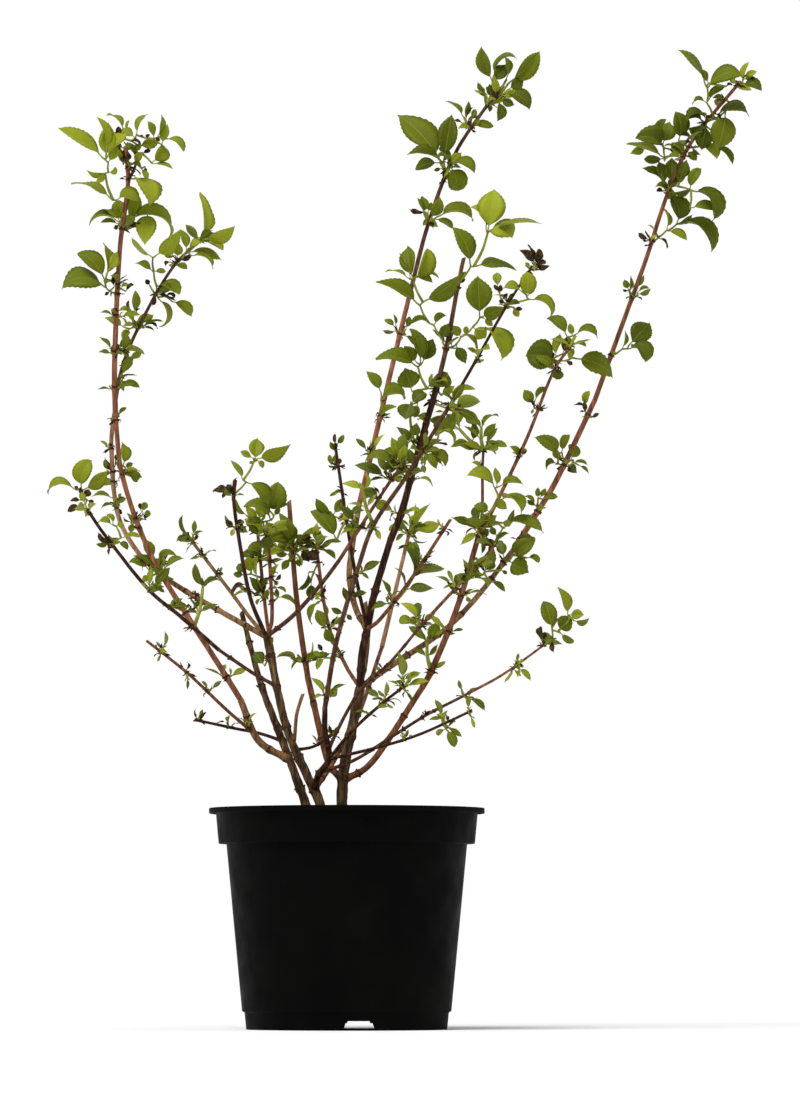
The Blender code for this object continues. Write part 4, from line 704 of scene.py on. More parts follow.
# Dried leaves and bud scales that stand out, in the same way
DRIED = {
    "left_crown": (
        (735, ((-234, 742, -231, 758, 0, 4), (-222, 738, -214, 745, 1, 4), (-238, 738, -243, 734, 0, 3))),
        (801, ((-222, 806, -207, 807, 0, 6), (-229, 804, -234, 801, 0, 4))),
        (850, ((-222, 851, -229, 851, 0, 1.5), (-203, 864, -202, 857, 0, 3))),
        (872, ((-222, 866, -224, 882, 0, 5), (-222, 872, -230, 890, 1, 4), (-229, 894, -230, 905, 0, 6),
            (-229, 896, -235, 898, 0, 3), (-217, 890, -207, 886, 1, 4), (-206, 877, -197, 881, 0, 4),
            (-204, 893, -208, 896, 0, 2), (-200, 893, -201, 897, 0, 4), (-192, 889, -189, 893, 0, 5),
            (-220, 868, -221, 880, 0, 3), (-212, 872, -211, 880, 0, 4))),
    ),
    "left_side_crown": (
        (700, ((-215, 715, -219, 729, 0, 4), (-212, 716, -207, 720, 1, 3), (-204, 703, -190, 700, 3, 3))),
        (735, ((-191, 735, -172, 728, 0, 3), (-193, 736, -196, 723, 0, 3), (-198, 744, -202, 750, 0, 5),
            (-182, 733, -173, 731, 4, 3))),
        (766, ((-168, 769, -156, 775, 0, 5), (-176, 767, -182, 763, -2, 4))),
    ),
    "top_crown": (
        (808, ((79, 818, 62, 821, 0, 3), (86, 810, 87, 804, 0, 2))),
        (858, ((101, 862, 107, 874, 0, 4),)),
        (902, ((116, 908, 107, 911, 0, 3), (119, 912, 127, 924, 0, 3), (122, 904, 124, 911, 0, 4),
            (124, 902, 130, 899, 0, 2))),
        (925, ((149, 937, 152, 948, 0, 5), (147, 930, 152, 937, 0, 4), (150, 960, 153, 967, 0, 4),
            (169, 944, 171, 952, 0, 4), (138, 936, 133, 937, 0, 2), (144, 938, 140, 945, 0, 4))),
    ),
    "far_right_crown": (
        (730, ((283, 739, 276, 740, 0, 2), (290, 733, 296, 729, 0, 2))),
        (787, ((312, 792, 321, 781, 2, 3), (303, 790, 292, 797, 0, 5), (303, 789, 296, 790, 0, 2))),
        (838, ((324, 842, 331, 853, 0, 5), (318, 838, 310, 839, -1, 4))),
        (883, ((339, 886, 346, 887, 3, 3), (330, 880, 324, 881, 0, 4))),
        (905, ((367, 917, 374, 911, 2, 3), (360, 912, 364, 916, 0, 4), (381, 945, 387, 946, 1, 3))),
        (950, ((405, 954, 410, 953, 0, 3),)),
    ),
    "dark_cane_crown": ((741, ((112, 744, 116, 756, 0, 4), (110, 744, 108, 749, 0, 3))),),
    "whip_crown": (
        (723, ((152, 738, 147, 745, 0, 4), (155, 729, 161, 736, 0, 4), (158, 726, 152, 729, 0, 4),
            (165, 726, 169, 729, 0, 4), (168, 721, 176, 720, 0, 4), (153, 736, 154, 745, 0, 5))),
        (762, ((186, 766, 173, 779, -2, 7), (187, 768, 181, 785, 0, 4), (187, 768, 192, 781, -2, 7),
            (188, 763, 196, 768, 0, 5), (189, 763, 203, 764, -1, 5), (186, 766, 180, 774, -1, 6),
            (188, 766, 194, 774, 0, 6), (188, 762, 191, 760, 0, 4), (193, 765, 199, 769, 0, 5))),
    ),
    "right_mid_crown": (
        (618, ((188, 620, 182, 629, 0, 3), (191, 619, 197, 618, 0, 3))),
        (659, ((219, 668, 226, 664, 0, 4), (206, 670, 206, 677, 0, 4))),
        (685, ((223, 687, 219, 692, 0, 3),)),
    ),
    "far_right_leaves": (
        (612, ((239, 616, 237, 627, 0, 5), (240, 622, 227, 623, 0, 2), (238, 617, 233, 617, 0, 2),
            (245, 611, 253, 615, 0, 4))),
        (562, ((222, 562, 223, 556, 0, 4),)),
    ),
    "low_right_spray": (
        (384, ((199, 387, 194, 402, 2, 6), (200, 385, 195, 386, 0, 3), (205, 388, 207, 375, 0, 5),
            (222, 408, 223, 413, 0, 3), (197, 388, 198, 396, 0, 4))),
    ),
    "dark_shoot": (
        (443, ((-101, 444, -115, 434, -2, 5),)),
        (500, ((-113, 500, -122, 508, 0, 6), (-112, 501, -121, 499, 0, 2), (-109, 502, -104, 508, 0, 5))),
        (531, ((-115, 535, -120, 544, 0, 6), (-116, 536, -134, 536, -2, 7), (-119, 538, -125, 530, 0, 5),
            (-112, 535, -110, 551, 0, 2))),
    ),
    "bud_shoot": (
        (562, ((-11, 562, -19, 563, 0, 2), (-8, 561, -2, 564, 0, 2), (-8, 563, -7, 570, 0, 4),
            (-12, 584, -12, 595, 0, 4), (-11, 579, -12, 586, 0, 4))),
    ),
    "upright_cane_leaves": (
        (478, ((-45, 480, -38, 466, 0, 9), (-40, 478, -29, 468, 0, 11), (-62, 478, -70, 472, 0, 5),
            (-46, 482, -35, 490, 2, 6), (-50, 476, -57, 468, 0, 6))),
    ),
    "low_left_spray": (
        (482, ((-234, 484, -249, 496, 2, 6), (-237, 481, -238, 473, 0, 2), (-234, 480, -239, 482, 0, 3))),
        (519, ((-266, 528, -277, 527, 0, 4), (-262, 530, -258, 539, 0, 7), (-260, 528, -253, 525, 0, 4),
            (-266, 522, -279, 516, -1, 6), (-268, 539, -273, 542, 0, 3), (-266, 532, -267, 541, 0, 4))),
    ),
    "left_cane_leaves": (
        (508, ((-216, 506, -224, 511, 0, 2), (-206, 517, -207, 525, 0, 5), (-204, 514, -200, 510, 0, 4))),
        (556, ((-226, 558, -220, 557, 0, 3), (-229, 566, -232, 574, 0, 4))),
    ),
    "arching_leaves": ((525, ((-231, 520, -225, 514, 0, 5),)), (556, ((-237, 555, -242, 555, 0, 4),))),
    "back_left_shoot": ((430, ((-84, 433, -87, 450, 0, 7), (-86, 438, -95, 444, 0, 4))),),
    "inner_shoot": ((450, ((-73, 447, -66, 454, 0, 3),)),),
    "back_shoot": ((372, ((-24, 376, -29, 384, 0, 4),)),),
    "whip_leaves": ((579, ((89, 585, 101, 583, 0, 2), (79, 588, 81, 599, 0, 4))),),
}

# Woody twigs in which a limb forks: the height of the fork, and the twig's tip (x, z)
FORKS = {
    "left_crown": ((850, -211, 872),),
    "left_side_crown": ((766, -166, 771),),
}

# Each bark: its young and its old colour, how rough it is, and how deep its relief is as a share of the
# radius. Limbs that aren't named have the russet one
BARKS = {
    "old": ((104, 82, 54), (32, 21, 11), 0.75, 0.11),
    "tan": ((146, 110, 72), (84, 60, 36), 0.62, 0.05),
    "pale": ((170, 128, 92), (112, 80, 54), 0.6, 0.04),
    "red": ((158, 100, 70), (98, 58, 38), 0.5, 0.035),
    "russet": ((134, 86, 56), (78, 46, 28), 0.5, 0.035),
    "brown": ((98, 66, 44), (54, 35, 22), 0.52, 0.04),
    "dark": ((72, 43, 26), (28, 17, 10), 0.45, 0.05),
}
BARK_OF = {
    "left_stem": "old", "middle_stem": "old", "right_stem": "old", "left_cane": "tan",
    "left_cane_leaves": "red", "left_crown": "red", "whip": "dark", "whip_leaves": "brown",
    "whip_crown": "dark", "dark_cane": "dark", "dark_cane_leaves": "dark", "dark_cane_crown": "brown",
    "back_cane": "tan", "back_right_cane": "russet", "upright_cane": "russet", "right_cane": "russet",
    "far_right_cane": "tan", "arching_branch": "tan", "arching_leaves": "pale", "left_side_crown": "brown",
    "low_left_branch": "brown", "front_left_branch": "brown", "right_slender": "brown",
    "low_right_branch": "brown", "low_right_twig": "dark", "right_inner_shoot": "dark",
    "pruned_stub": "tan", "pruned_twig": "tan", "tan_shoot": "tan", "dark_shoot": "dark",
    "bud_shoot": "dark", "inner_twig": "dark", "low_left_twig": "dark", "far_right_crown": "russet",
    "far_right_leaves": "red", "back_cane_leaves": "red", "back_right_shoot": "pale", "top_crown": "brown",
    "low_left_spray": "dark",
}
PORE = (196, 160, 118)

# Limbs that end in a cut, and the length of the paler dead wood before it
PRUNED = ("left_stem", "pruned_stub", "pruned_twig", "upright_cane_leaves", "dark_cane_crown",
          "pruned_side_branch")
DEAD_ENDS = {"dark_cane_crown": 27.0, "upright_cane_leaves": 33.0}

# Greens, each with its share of the sprays
GREENS = {
    "bright": ((146, 155, 36), 3),
    "fresh": ((125, 134, 25), 4),
    "mid": ((100, 109, 18), 6),
    "deep": ((80, 88, 13), 5),
    "dusky": ((84, 94, 28), 2),
}
PALE_UNDERSIDE = (152, 158, 84)
PALE_RIB = (166, 174, 80)
GREEN_SHOOT = (132, 140, 38)
BROWN_SHOOT = (112, 84, 50)
PALE_SHOOT = (156, 162, 60)

# Mottled surfaces: the paler and the darker colour, how rough they are, how many waves their grain has to
# the metre, and how high it stands
MOTTLED = {
    "compost": ((66, 48, 36), (28, 20, 15), 0.9, 700.0, 0.6),
    "bark chips": ((104, 76, 54), (50, 35, 25), 0.85, 500.0, 0.4),
    "grit": ((150, 142, 128), (104, 96, 84), 0.8, 900.0, 0.2),
    "node scars": ((80, 54, 36), (34, 22, 14), 0.75, 400.0, 0.3),
    "cut wood": ((196, 164, 118), (150, 112, 74), 0.8, 500.0, 0.2),
    "withered leaf": ((84, 66, 38), (24, 17, 10), 0.75, 300.0, 0.3),
    "bud scale": ((96, 74, 44), (48, 34, 24), 0.6, 500.0, 0.2),
}

# Camera, at the viewpoint
AIM_HEIGHT = 480.5
FRAME_HEIGHT = 1095.0  # of what the camera sees at the pot's axis
FILM = 36.0

# Light. Each sun has the spot that it shines from, its strength, and its spread in degrees
WHITE = (1.0, 1.0, 1.0, 1.0)
SKY_LIGHT = 0.4
SUNS = {
    "key": ((-1.1, -1.7, 3.0), 2.6, 35.0),
    "fill": ((2.4, -1.8, 1.2), 0.3, 60.0),
}
FLOOR_SIZE = 30.0  # metres


# Small helpers


def linear(colour):
    """A screen colour of 0 to 255 as the linear values that shaders take."""
    shares = [value / 255 for value in colour]
    return tuple(s / 12.92 if s <= 0.04045 else ((s + 0.055) / 1.055) ** 2.4 for s in shares)


def mixed(a, b, share):
    return tuple(x + (y - x) * share for x, y in zip(a, b))


def circle(sides):
    """The directions of the evenly spaced corners of a ring."""
    turns = [2 * math.pi * step / sides for step in range(sides)]
    return [(math.cos(turn), math.sin(turn)) for turn in turns]


def number_of(name):
    """A number that is always the same for a name."""
    return random.Random(name).uniform(0, 100)


def new_object(name, data):
    obj = bpy.data.objects.new(name, data)
    bpy.context.scene.collection.objects.link(obj)
    return obj


class Sheaf:
    """Many small forms gathered into one mesh: their corners, and each face with its material slot."""

    def __init__(self):
        self.corners = []
        self.faces = []
        self.slots = []

    def add(self, corners, faces, slots):
        start = len(self.corners)
        self.corners += corners
        self.faces += [tuple(start + i for i in face) for face in faces]
        self.slots += slots if isinstance(slots, list) else [slots] * len(faces)

    def build(self, name, place, materials):
        mesh = bpy.data.meshes.new(name)
        mesh.from_pydata([place @ corner for corner in self.corners], [], self.faces)
        for material in materials:
            mesh.materials.append(material)
        mesh.polygons.foreach_set("material_index", self.slots)
        mesh.shade_smooth()
        return new_object(name, mesh)


# Materials


class Surface:
    """A node material built up from one Principled shader."""

    def __init__(self, name, colour, roughness, gloss=0.15):
        self.material = bpy.data.materials.new(name)
        self.material.use_nodes = True
        self.tree = self.material.node_tree
        self.shader = self.tree.nodes["Principled BSDF"]
        self.shader.inputs["Base Color"].default_value = (*linear(colour), 1.0)
        self.shader.inputs["Roughness"].default_value = roughness
        self.shader.inputs["Specular IOR Level"].default_value = gloss
        self.coordinates = self.node("ShaderNodeTexCoord").outputs["Object"]

    def node(self, kind, **values):
        """A new node. Its inputs are set by their names, with an underscore for a space."""
        node = self.tree.nodes.new(kind)
        for name, value in values.items():
            node.inputs[name.replace("_", " ")].default_value = value
        return node

    def link(self, source, target):
        self.tree.links.new(source, target)

    def noise(self, scale, detail=4.0, stretch=None):
        """A noise pattern with this many waves to the metre, which may be stretched along Z."""
        texture = self.node("ShaderNodeTexNoise", Scale=scale, Detail=detail)
        source = self.coordinates
        if stretch:
            mapping = self.node("ShaderNodeMapping", Scale=(1.0, 1.0, 1.0 / stretch))
            self.link(source, mapping.inputs["Vector"])
            source = mapping.outputs["Vector"]
        self.link(source, texture.inputs["Vector"])
        return texture.outputs["Fac"]

    def cells(self, scale):
        texture = self.node("ShaderNodeTexVoronoi", Scale=scale)
        self.link(self.coordinates, texture.inputs["Vector"])
        return texture.outputs["Distance"]

    def colour_from(self, source, stops):
        """Colours spread over the pattern, from (place, screen colour) pairs."""
        node = self.node("ShaderNodeValToRGB")
        elements = node.color_ramp.elements
        while len(elements) < len(stops):
            elements.new(1.0)
        for element, (place, colour) in zip(elements, stops):
            element.position = place
            element.color = (*linear(colour), 1.0)
        self.link(source, node.inputs["Fac"])
        self.link(node.outputs["Color"], self.shader.inputs["Base Color"])

    def roughness_from(self, source, low, high):
        """Roughness that follows the pattern, most of which lies between 0.3 and 0.7."""
        node = self.node("ShaderNodeMapRange", From_Min=0.3, From_Max=0.7, To_Min=low, To_Max=high)
        self.link(source, node.inputs["Value"])
        self.link(node.outputs["Result"], self.shader.inputs["Roughness"])

    def bump(self, source, height, strength=1.0):
        """Relief from the pattern, this many millimetres high. A second call adds to the first."""
        node = self.node("ShaderNodeBump", Strength=strength, Distance=height * MM)
        self.link(source, node.inputs["Height"])
        socket = self.shader.inputs["Normal"]
        if socket.is_linked:
            self.link(socket.links[0].from_socket, node.inputs["Normal"])
        self.link(node.outputs["Normal"], socket)


def blade_material(name, colour, roughness):
    """Leaf skin: one plain green, with fine veinlets in relief and a broken sheen."""
    surface = Surface(name, colour, roughness, gloss=0.1)
    surface.shader.inputs["Subsurface Weight"].default_value = 0.15
    surface.shader.inputs["Subsurface Radius"].default_value = (0.8, 1.0, 0.2)
    surface.shader.inputs["Subsurface Scale"].default_value = 1.0 * MM
    surface.roughness_from(surface.noise(130.0), roughness - 0.08, roughness + 0.14)
    surface.bump(surface.noise(90.0, detail=2.0), height=0.25, strength=0.12)
    surface.bump(surface.cells(700.0), height=0.05, strength=0.2)
    return surface.material


def bark_material(name, young, old, roughness):
    """Bark with lengthwise streaks, darker blotches and small pale pores."""
    surface = Surface(name, young, roughness, gloss=0.07)
    streaks = surface.noise(330.0, detail=5.0, stretch=6.0)
    pores = mixed(young, PORE, 0.35)
    surface.colour_from(streaks, ((0.3, old), (0.47, mixed(young, old, 0.5)), (0.62, young), (0.78, pores)))
    surface.roughness_from(surface.noise(120.0), roughness - 0.08, roughness + 0.14)
    surface.bump(streaks, height=0.35, strength=0.7)
    surface.bump(surface.noise(1400.0, detail=2.0), height=0.08, strength=0.5)
    return surface.material


def mottled_material(name):
    """A surface that wanders between two colours, with relief of the same grain."""
    pale, dark, roughness, scale, relief = MOTTLED[name]
    surface = Surface(name, pale, roughness, gloss=0.06)
    grain = surface.noise(scale, detail=5.0)
    surface.colour_from(grain, ((0.34, dark), (0.64, pale)))
    surface.roughness_from(grain, roughness - 0.05, roughness + 0.1)
    surface.bump(grain, relief, strength=0.8)
    return surface.material


def plastic_material():
    """Black moulded plastic: dull satin, faintly scuffed, with a bloom of dust."""
    surface = Surface("black plastic", (7, 7, 7), 0.5, gloss=0.025)
    dust = surface.noise(14.0, detail=6.0)
    surface.colour_from(dust, ((0.35, (5, 5, 5)), (0.6, (8, 8, 7)), (0.8, (14, 13, 12))))
    surface.roughness_from(surface.noise(40.0, detail=6.0), 0.45, 0.65)
    surface.bump(surface.noise(900.0, detail=2.0), height=0.05, strength=0.5)
    surface.bump(surface.noise(9.0, detail=2.0), height=0.8, strength=0.25)
    return surface.material


def shoot_material():
    surface = Surface("green shoot", GREEN_SHOOT, 0.5)
    tones = (0.3, mixed(GREEN_SHOOT, BROWN_SHOOT, 0.5)), (0.5, GREEN_SHOOT), (0.75, PALE_SHOOT)
    surface.colour_from(surface.noise(90.0, detail=3.0), tones)
    surface.roughness_from(surface.noise(300.0), 0.42, 0.6)
    surface.bump(surface.noise(500.0, detail=4.0, stretch=5.0), height=0.2, strength=0.6)
    return surface.material


# Limbs


def heading_at(points, index):
    """The direction in which a run of points passes one of them."""
    return (points[min(index + 1, len(points) - 1)] - points[max(index - 1, 0)]).normalized()


def smooth_path(points, spacing):
    """Points along a smooth curve through the given ones, about the spacing apart."""
    headings = [heading_at(points, i) for i in range(len(points))]
    path = [points[0]]
    for i in range(len(points) - 1):
        near, far = points[i], points[i + 1]
        reach = (far - near).length
        rings = max(2, round(reach / spacing) + 1)
        handles = near + headings[i] * reach / 3, far - headings[i + 1] * reach / 3
        path += interpolate_bezier(near, *handles, far, rings)[1:]
    return path


def placed(x, y, z):
    """The true place of a point of a limb's row, which lies further out the further back it is."""
    spread = 1 + y * DEPTH / VIEW_DISTANCE
    side = VIEW_SIDE + (x - VIEW_SIDE) * spread
    return Vector((side, y * DEPTH, VIEW_HEIGHT + (z - VIEW_HEIGHT) * spread))


def seen_height(place):
    """The height at which a place looks to be from the viewpoint."""
    return VIEW_HEIGHT + (place.z - VIEW_HEIGHT) / (1 + place.y / VIEW_DISTANCE)


def at_height(path, height):
    """The place on the path that looks to be at this height."""
    for low, high in zip(path, path[1:]):
        near, far = seen_height(low), seen_height(high)
        if near <= height <= far:
            return low.lerp(high, (height - near) / (far - near))
    return path[-1] if height > seen_height(path[-1]) else path[0]


def node_at(path, height):
    """The place of a node on a stem, a little inside its tip at most."""
    place = at_height(path, height)
    ahead = (path[-1] - path[-2]).normalized()
    past = (place - path[-1]).dot(ahead) + NODE_INSET
    return place - ahead * max(past, 0.0)


def limb_path(row, paths):
    """The centreline of one limb, from a row of BOUGHS or MASSES."""
    parent, height, _, _, points = row
    points = [placed(*point) for point in points]
    if parent is None:
        down = (points[0] - points[1]).normalized()
        return smooth_path([points[0] + down * BURIED] + points, RING_SPACING)
    start = paths[parent][-1] if height is None else at_height(paths[parent], height)
    return smooth_path([start.copy()] + points, RING_SPACING)


def distances(path):
    """How far along the path each of its points is."""
    lengths = [0.0]
    for a, b in zip(path, path[1:]):
        lengths.append(lengths[-1] + (b - a).length)
    return lengths


def frames(path):
    """Two directions square to the path at each point, carried along without twisting."""
    ahead = (path[1] - path[0]).normalized()
    side = ahead.cross(Vector((0, 1, 0))).normalized()
    for i in range(len(path)):
        ahead = heading_at(path, i)
        side = (side - ahead * side.dot(ahead)).normalized()
        yield side, ahead.cross(side)


def leafy_heights(name):
    """The heights of a limb's leafy nodes. Leaves, sprigs and tufts that are nearly level share one."""
    heights = []
    rows = TUFTS.get(name, ()) + SPRIGS.get(name, ()) + LEAVES.get(name, ())
    for row in sorted(rows, key=lambda row: row[0]):
        if not heights or row[0] - heights[-1] > SAME_NODE:
            heights.append(row[0])
    return heights


def swelling(gap, reach, share):
    """How much thicker a limb is this far from the middle of a swelling."""
    return 1 + share * math.exp(-(gap**2) / reach**2)


class Limb:
    """One cane: its centreline, its radius at each point, and the nodes along it."""

    def __init__(self, name, row, paths):
        parent, height, self.foot, self.tip, _ = row
        self.name = name
        self.is_stem = parent is None
        self.continues = parent is not None and height is None
        self.path = limb_path(row, paths)
        self.lengths = distances(self.path)
        self.nodes = self.node_places()

    def node_places(self):
        """How far along the limb its nodes are: the leafy ones, and seeded ones as well on a bough."""
        places = [self.distance_at(height) for height in leafy_heights(self.name)]
        if places and self.name in MASSES:
            return places
        seed = random.Random(f"{self.name} nodes")
        place = seed.uniform(*NODE_SPACING) / 2
        while place < self.lengths[-1] - NODE_SPACING[0] / 2:
            places.append(place)
            place += seed.uniform(*NODE_SPACING)
        return places

    def distance_at(self, height):
        nearest = min(range(len(self.path)), key=lambda i: abs(seen_height(self.path[i]) - height))
        return self.lengths[nearest]

    def radius(self, index):
        length = self.lengths[index]
        radius = self.foot + (self.tip - self.foot) * length / self.lengths[-1]
        if self.is_stem:
            rise = max(self.path[index].z - COMPOST_TOP, 0.0)
            radius *= 1 + FLARE * math.exp(-rise / FLARE_HEIGHT)
        elif not self.continues:
            radius *= swelling(length - self.foot, FORK_REACH, FORK_SWELL)
        for node in self.nodes:
            radius *= swelling(length - node, NODE_REACH, NODE_SWELL)
        return radius + OTHER_THICKNESS.get(self.name, BARK_THICKNESS)

    def slot(self, index):
        """Bark is 0, the dark ring at a node 1 and the dead end of a cane 3."""
        length = self.lengths[index]
        if any(abs(length - node) < SCAR_REACH for node in self.nodes):
            return 1
        return 3 if self.lengths[-1] - length < DEAD_ENDS.get(self.name, 0) else 0


def bark_corners(limb, relief, sides):
    """Rings of corners round a limb, lifted and sunk by bark that runs in lengthwise ridges."""
    grain = Vector((number_of(limb.name), 0, 0))
    corners = []
    for index, (side, out) in enumerate(frames(limb.path)):
        radius = limb.radius(index)
        for x, y in circle(sides):
            ridge_place = Vector((RIDGES * x, RIDGES * y, limb.lengths[index] / RIDGE_LENGTH))
            ridge = noise.noise(grain + ridge_place)
            lump = noise.noise(grain + limb.path[index] / LUMP_LENGTH + Vector((x, y, 0)))
            reach = radius * (1 + relief * (RIDGE_SHARE * ridge + LUMP_SHARE * lump))
            corners.append(limb.path[index] + (side * x + out * y) * reach)
    return corners


def tube_faces(rings, sides):
    for ring in range(rings - 1):
        for step in range(sides):
            a, b = ring * sides + step, ring * sides + (step + 1) % sides
            yield a, b, b + sides, a + sides


def bark_sheaf(limb, relief, sides):
    """The whole skin of a limb: bark in slots 0, 1 and 3, and cut wood in 2."""
    corners = bark_corners(limb, relief, sides)
    faces = list(tube_faces(len(limb.path), sides))
    slots = [limb.slot(face[0] // sides) for face in faces]
    end = limb.path[-1]
    ahead = (end - limb.path[-2]).normalized()
    top = len(corners) - sides
    pruned = limb.name in PRUNED
    if pruned:
        slope = Vector((1, 0, 0)) * limb.tip
        corners[top:] = [c + ahead * (c - end).dot(slope) * CUT_SLOPE for c in corners[top:]]
    corners.append(end.copy() if pruned else end + ahead * limb.tip * TIP_REACH)
    faces += [(top + step, top + (step + 1) % sides, top + sides) for step in range(sides)]
    slots += [2 if pruned else 0] * sides
    sheaf = Sheaf()
    sheaf.add(corners, faces, slots)
    return sheaf


def add_tube(sheaf, path, radii, sides, slot=0):
    """A thin round tube, closed at both ends."""
    corners = []
    for place, radius, (side, out) in zip(path, radii, frames(path)):
        corners += [place + (side * x + out * y) * radius for x, y in circle(sides)]
    faces = list(tube_faces(len(path), sides))
    faces.append(tuple(range(sides - 1, -1, -1)))
    faces.append(tuple(range(len(corners) - sides, len(corners))))
    sheaf.add(corners, faces, slot)


def add_twig(sheaf, root, tip, bow, spacing, radii, sides=TWIG_SIDES):
    """A tapering twig that bows aside halfway. Returns its path."""
    path = smooth_path([root, root.lerp(tip, 0.5) + bow, tip], spacing)
    thick, thin = radii
    last = len(path) - 1
    add_tube(sheaf, path, [thick + (thin - thick) * i / last for i in range(last + 1)], sides)
    return path


# Leaves


def outline(share, base, tip):
    """Half the width of a leaf at a share of its length: 1 at its widest place, with a long point."""
    if not 0 < share < 1:
        return 0.0
    widest = base / (base + tip)
    return (share / widest) ** base * ((1 - share) / (1 - widest)) ** tip


def leaf_axes(heading, roll):
    """A leaf's directions along, across and out of its face."""
    along = heading.normalized()
    up = Vector((0, 0, LEAF_UPWARD)) + Vector((math.cos(roll), math.sin(roll), 0.0)) * LEAF_ASIDE
    up = (up - along * up.dot(along)).normalized()
    return along, up.cross(along), up


class LeafShape:
    """How one leaf bends: seeded, and the same for both of its faces."""

    def __init__(self, seed, length):
        broad = min(length / BROAD_LENGTH, 1.0)
        least, more = BREADTH
        self.length = length
        self.rows = next(rows for longer, rows in LEAF_ROWS if length > longer)
        self.width = LEAF_WIDTH * (least + more * broad) * seed.uniform(*WIDTH_VARIES)
        self.base = seed.uniform(*LEAF_BASE)
        self.point = seed.uniform(*LEAF_POINT)
        self.droop = seed.choice(DROOPS) + seed.uniform(*DROOP_VARIES)
        self.twist = seed.uniform(*TWIST)
        self.fold = seed.uniform(*FOLD)
        self.wave = seed.uniform(*WAVE)
        self.phase = seed.uniform(0, math.pi)
        self.teeth = seed.uniform(*TEETH) * broad if length > TOOTHED_LENGTH else 0.0
        self.pucker = PUCKER * length if length > PUCKERED_LENGTH else 0.0
        self.rib = RIB[0] + RIB[1] * length

    def wither(self, seed):
        self.width *= seed.uniform(*DRY_WIDTH)
        self.droop = seed.uniform(*DRY_DROOP)
        self.twist = seed.uniform(*DRY_TWIST)
        self.fold = seed.uniform(*DRY_FOLD)
        self.wave = DRY_WAVE

    def half_width(self, share, tooth):
        half = self.length * self.width / 2 * outline(share, self.base, self.point) * (1 + tooth)
        return max(half, self.rib * RIB_MARGIN * (1 - RIB_MARGIN_FADES * share))

    def fold_at(self, share):
        return self.fold * (1 - FOLD_OPENS * share)

    def rise(self, column, share, reach):
        """How far a point of the blade stands off the midrib's plane."""
        across = COLUMNS[column]
        rise = abs(reach) * math.sin(self.fold_at(share)) - reach * reach * SAG
        if column in VEIN_COLUMNS:
            veins = math.sin(2 * math.pi * (VEINS * share - VEIN_SLANT * abs(across)))
            return rise + self.pucker * veins * math.sin(math.pi * share)
        if column in EDGE_COLUMNS:
            return rise + self.wave * self.length * math.sin(WAVES * share + self.phase) * across
        return rise

    def axes_at(self, share, axes):
        """The leaf's directions at a share of its length, bent by its droop and its twist."""
        along, across, up = axes
        bend = self.droop * share**DROOP_CURVE
        ahead = along * math.cos(bend) - up * math.sin(bend)
        out = up * math.cos(bend) + along * math.sin(bend)
        turn = Matrix.Rotation(self.twist * share, 3, ahead)
        return ahead, turn @ across, turn @ out

    def extent(self):
        """How far a leaf of length 1 reaches forth and aside, petiole and all, for its droop."""
        blade = 1 - PETIOLE
        bends = [self.droop * (row / self.rows) ** DROOP_CURVE for row in range(self.rows)]
        forth = PETIOLE + blade * sum(math.cos(bend) for bend in bends) / self.rows
        return forth, blade * sum(math.sin(bend) for bend in bends) / self.rows


def blade_corners(shape, base, axes):
    """The corners of a blade: all columns of its upper face row by row, then the inner ones of its lower."""
    upper, lower = [], []
    place = base
    step = shape.length / shape.rows
    for row in range(shape.rows + 1):
        share = row / shape.rows
        ahead, side, out = shape.axes_at(share, axes)
        toothed = row % 2 and TOOTHED_PART[0] < share < TOOTHED_PART[1]
        half = shape.half_width(share, shape.teeth if toothed else 0.0)
        lead = TOOTH_FORWARD if toothed else EDGE_FORWARD
        rib = min(shape.rib * (1 - RIB_FADES * share), half * RIB_MOST)
        for column, across in enumerate(COLUMNS):
            reach = math.copysign(rib, column - 2.5) if column in RIB_COLUMNS else across * half
            forward = abs(across) * step * lead * math.sin(math.pi * share)
            flat = side * reach * math.cos(shape.fold_at(share))
            corner = place + flat + out * shape.rise(column, share, reach) + ahead * forward
            upper.append(corner)
            if column not in EDGE_COLUMNS:
                thick = BLADE * (RIB_THICKNESS if column in RIB_COLUMNS else 1.0)
                lower.append(corner - out * (thick * (1 - BLADE_THINS * share)))
        place = place + ahead * step
    return upper + lower


def blade_faces(rows):
    """The faces of a blade and their slots: 0 above, 1 below and 2 for the midrib on both sides."""
    width = len(COLUMNS)
    base = width * (rows + 1)

    def under(row, column):
        if column in EDGE_COLUMNS:
            return row * width + column
        return base + row * (width - 2) + column - 1

    faces, slots = [], []
    for row in range(rows):
        for column in range(width - 1):
            near, far = row * width + column, (row + 1) * width + column
            faces.append((near, far, far + 1, near + 1))
            below = (row, column), (row, column + 1), (row + 1, column + 1), (row + 1, column)
            faces.append(tuple(under(*corner) for corner in below))
            slots += [2, 2] if column == 2 else [0, 1]
    for row in (0, rows):
        loop = [row * width + column for column in range(width)]
        loop += [under(row, column) for column in range(width - 2, 0, -1)]
        faces.append(tuple(loop if row == 0 else reversed(loop)))
        slots.append(2)
    return faces, slots


def add_blade(sheaf, root, axes, shape, petiole, withered):
    """A petiole and the blade at its end."""
    along, _, up = axes
    base = root + along * petiole + up * petiole * PETIOLE_LIFT
    middle = root.lerp(base, 0.5) - up * petiole * (PETIOLE_LIFT / 2)
    path = [root - along * PETIOLE_SUNK, middle, base + along * PETIOLE_LAP]
    least, growth = PETIOLE_THICK
    thick = least + growth * (shape.length + petiole)
    radii = [thick * share for share in PETIOLE_TAPER]
    add_tube(sheaf, path, radii, PETIOLE_SIDES, 0 if withered else 2)
    faces, slots = blade_faces(shape.rows)
    sheaf.add(blade_corners(shape, base, axes), faces, 0 if withered else slots)


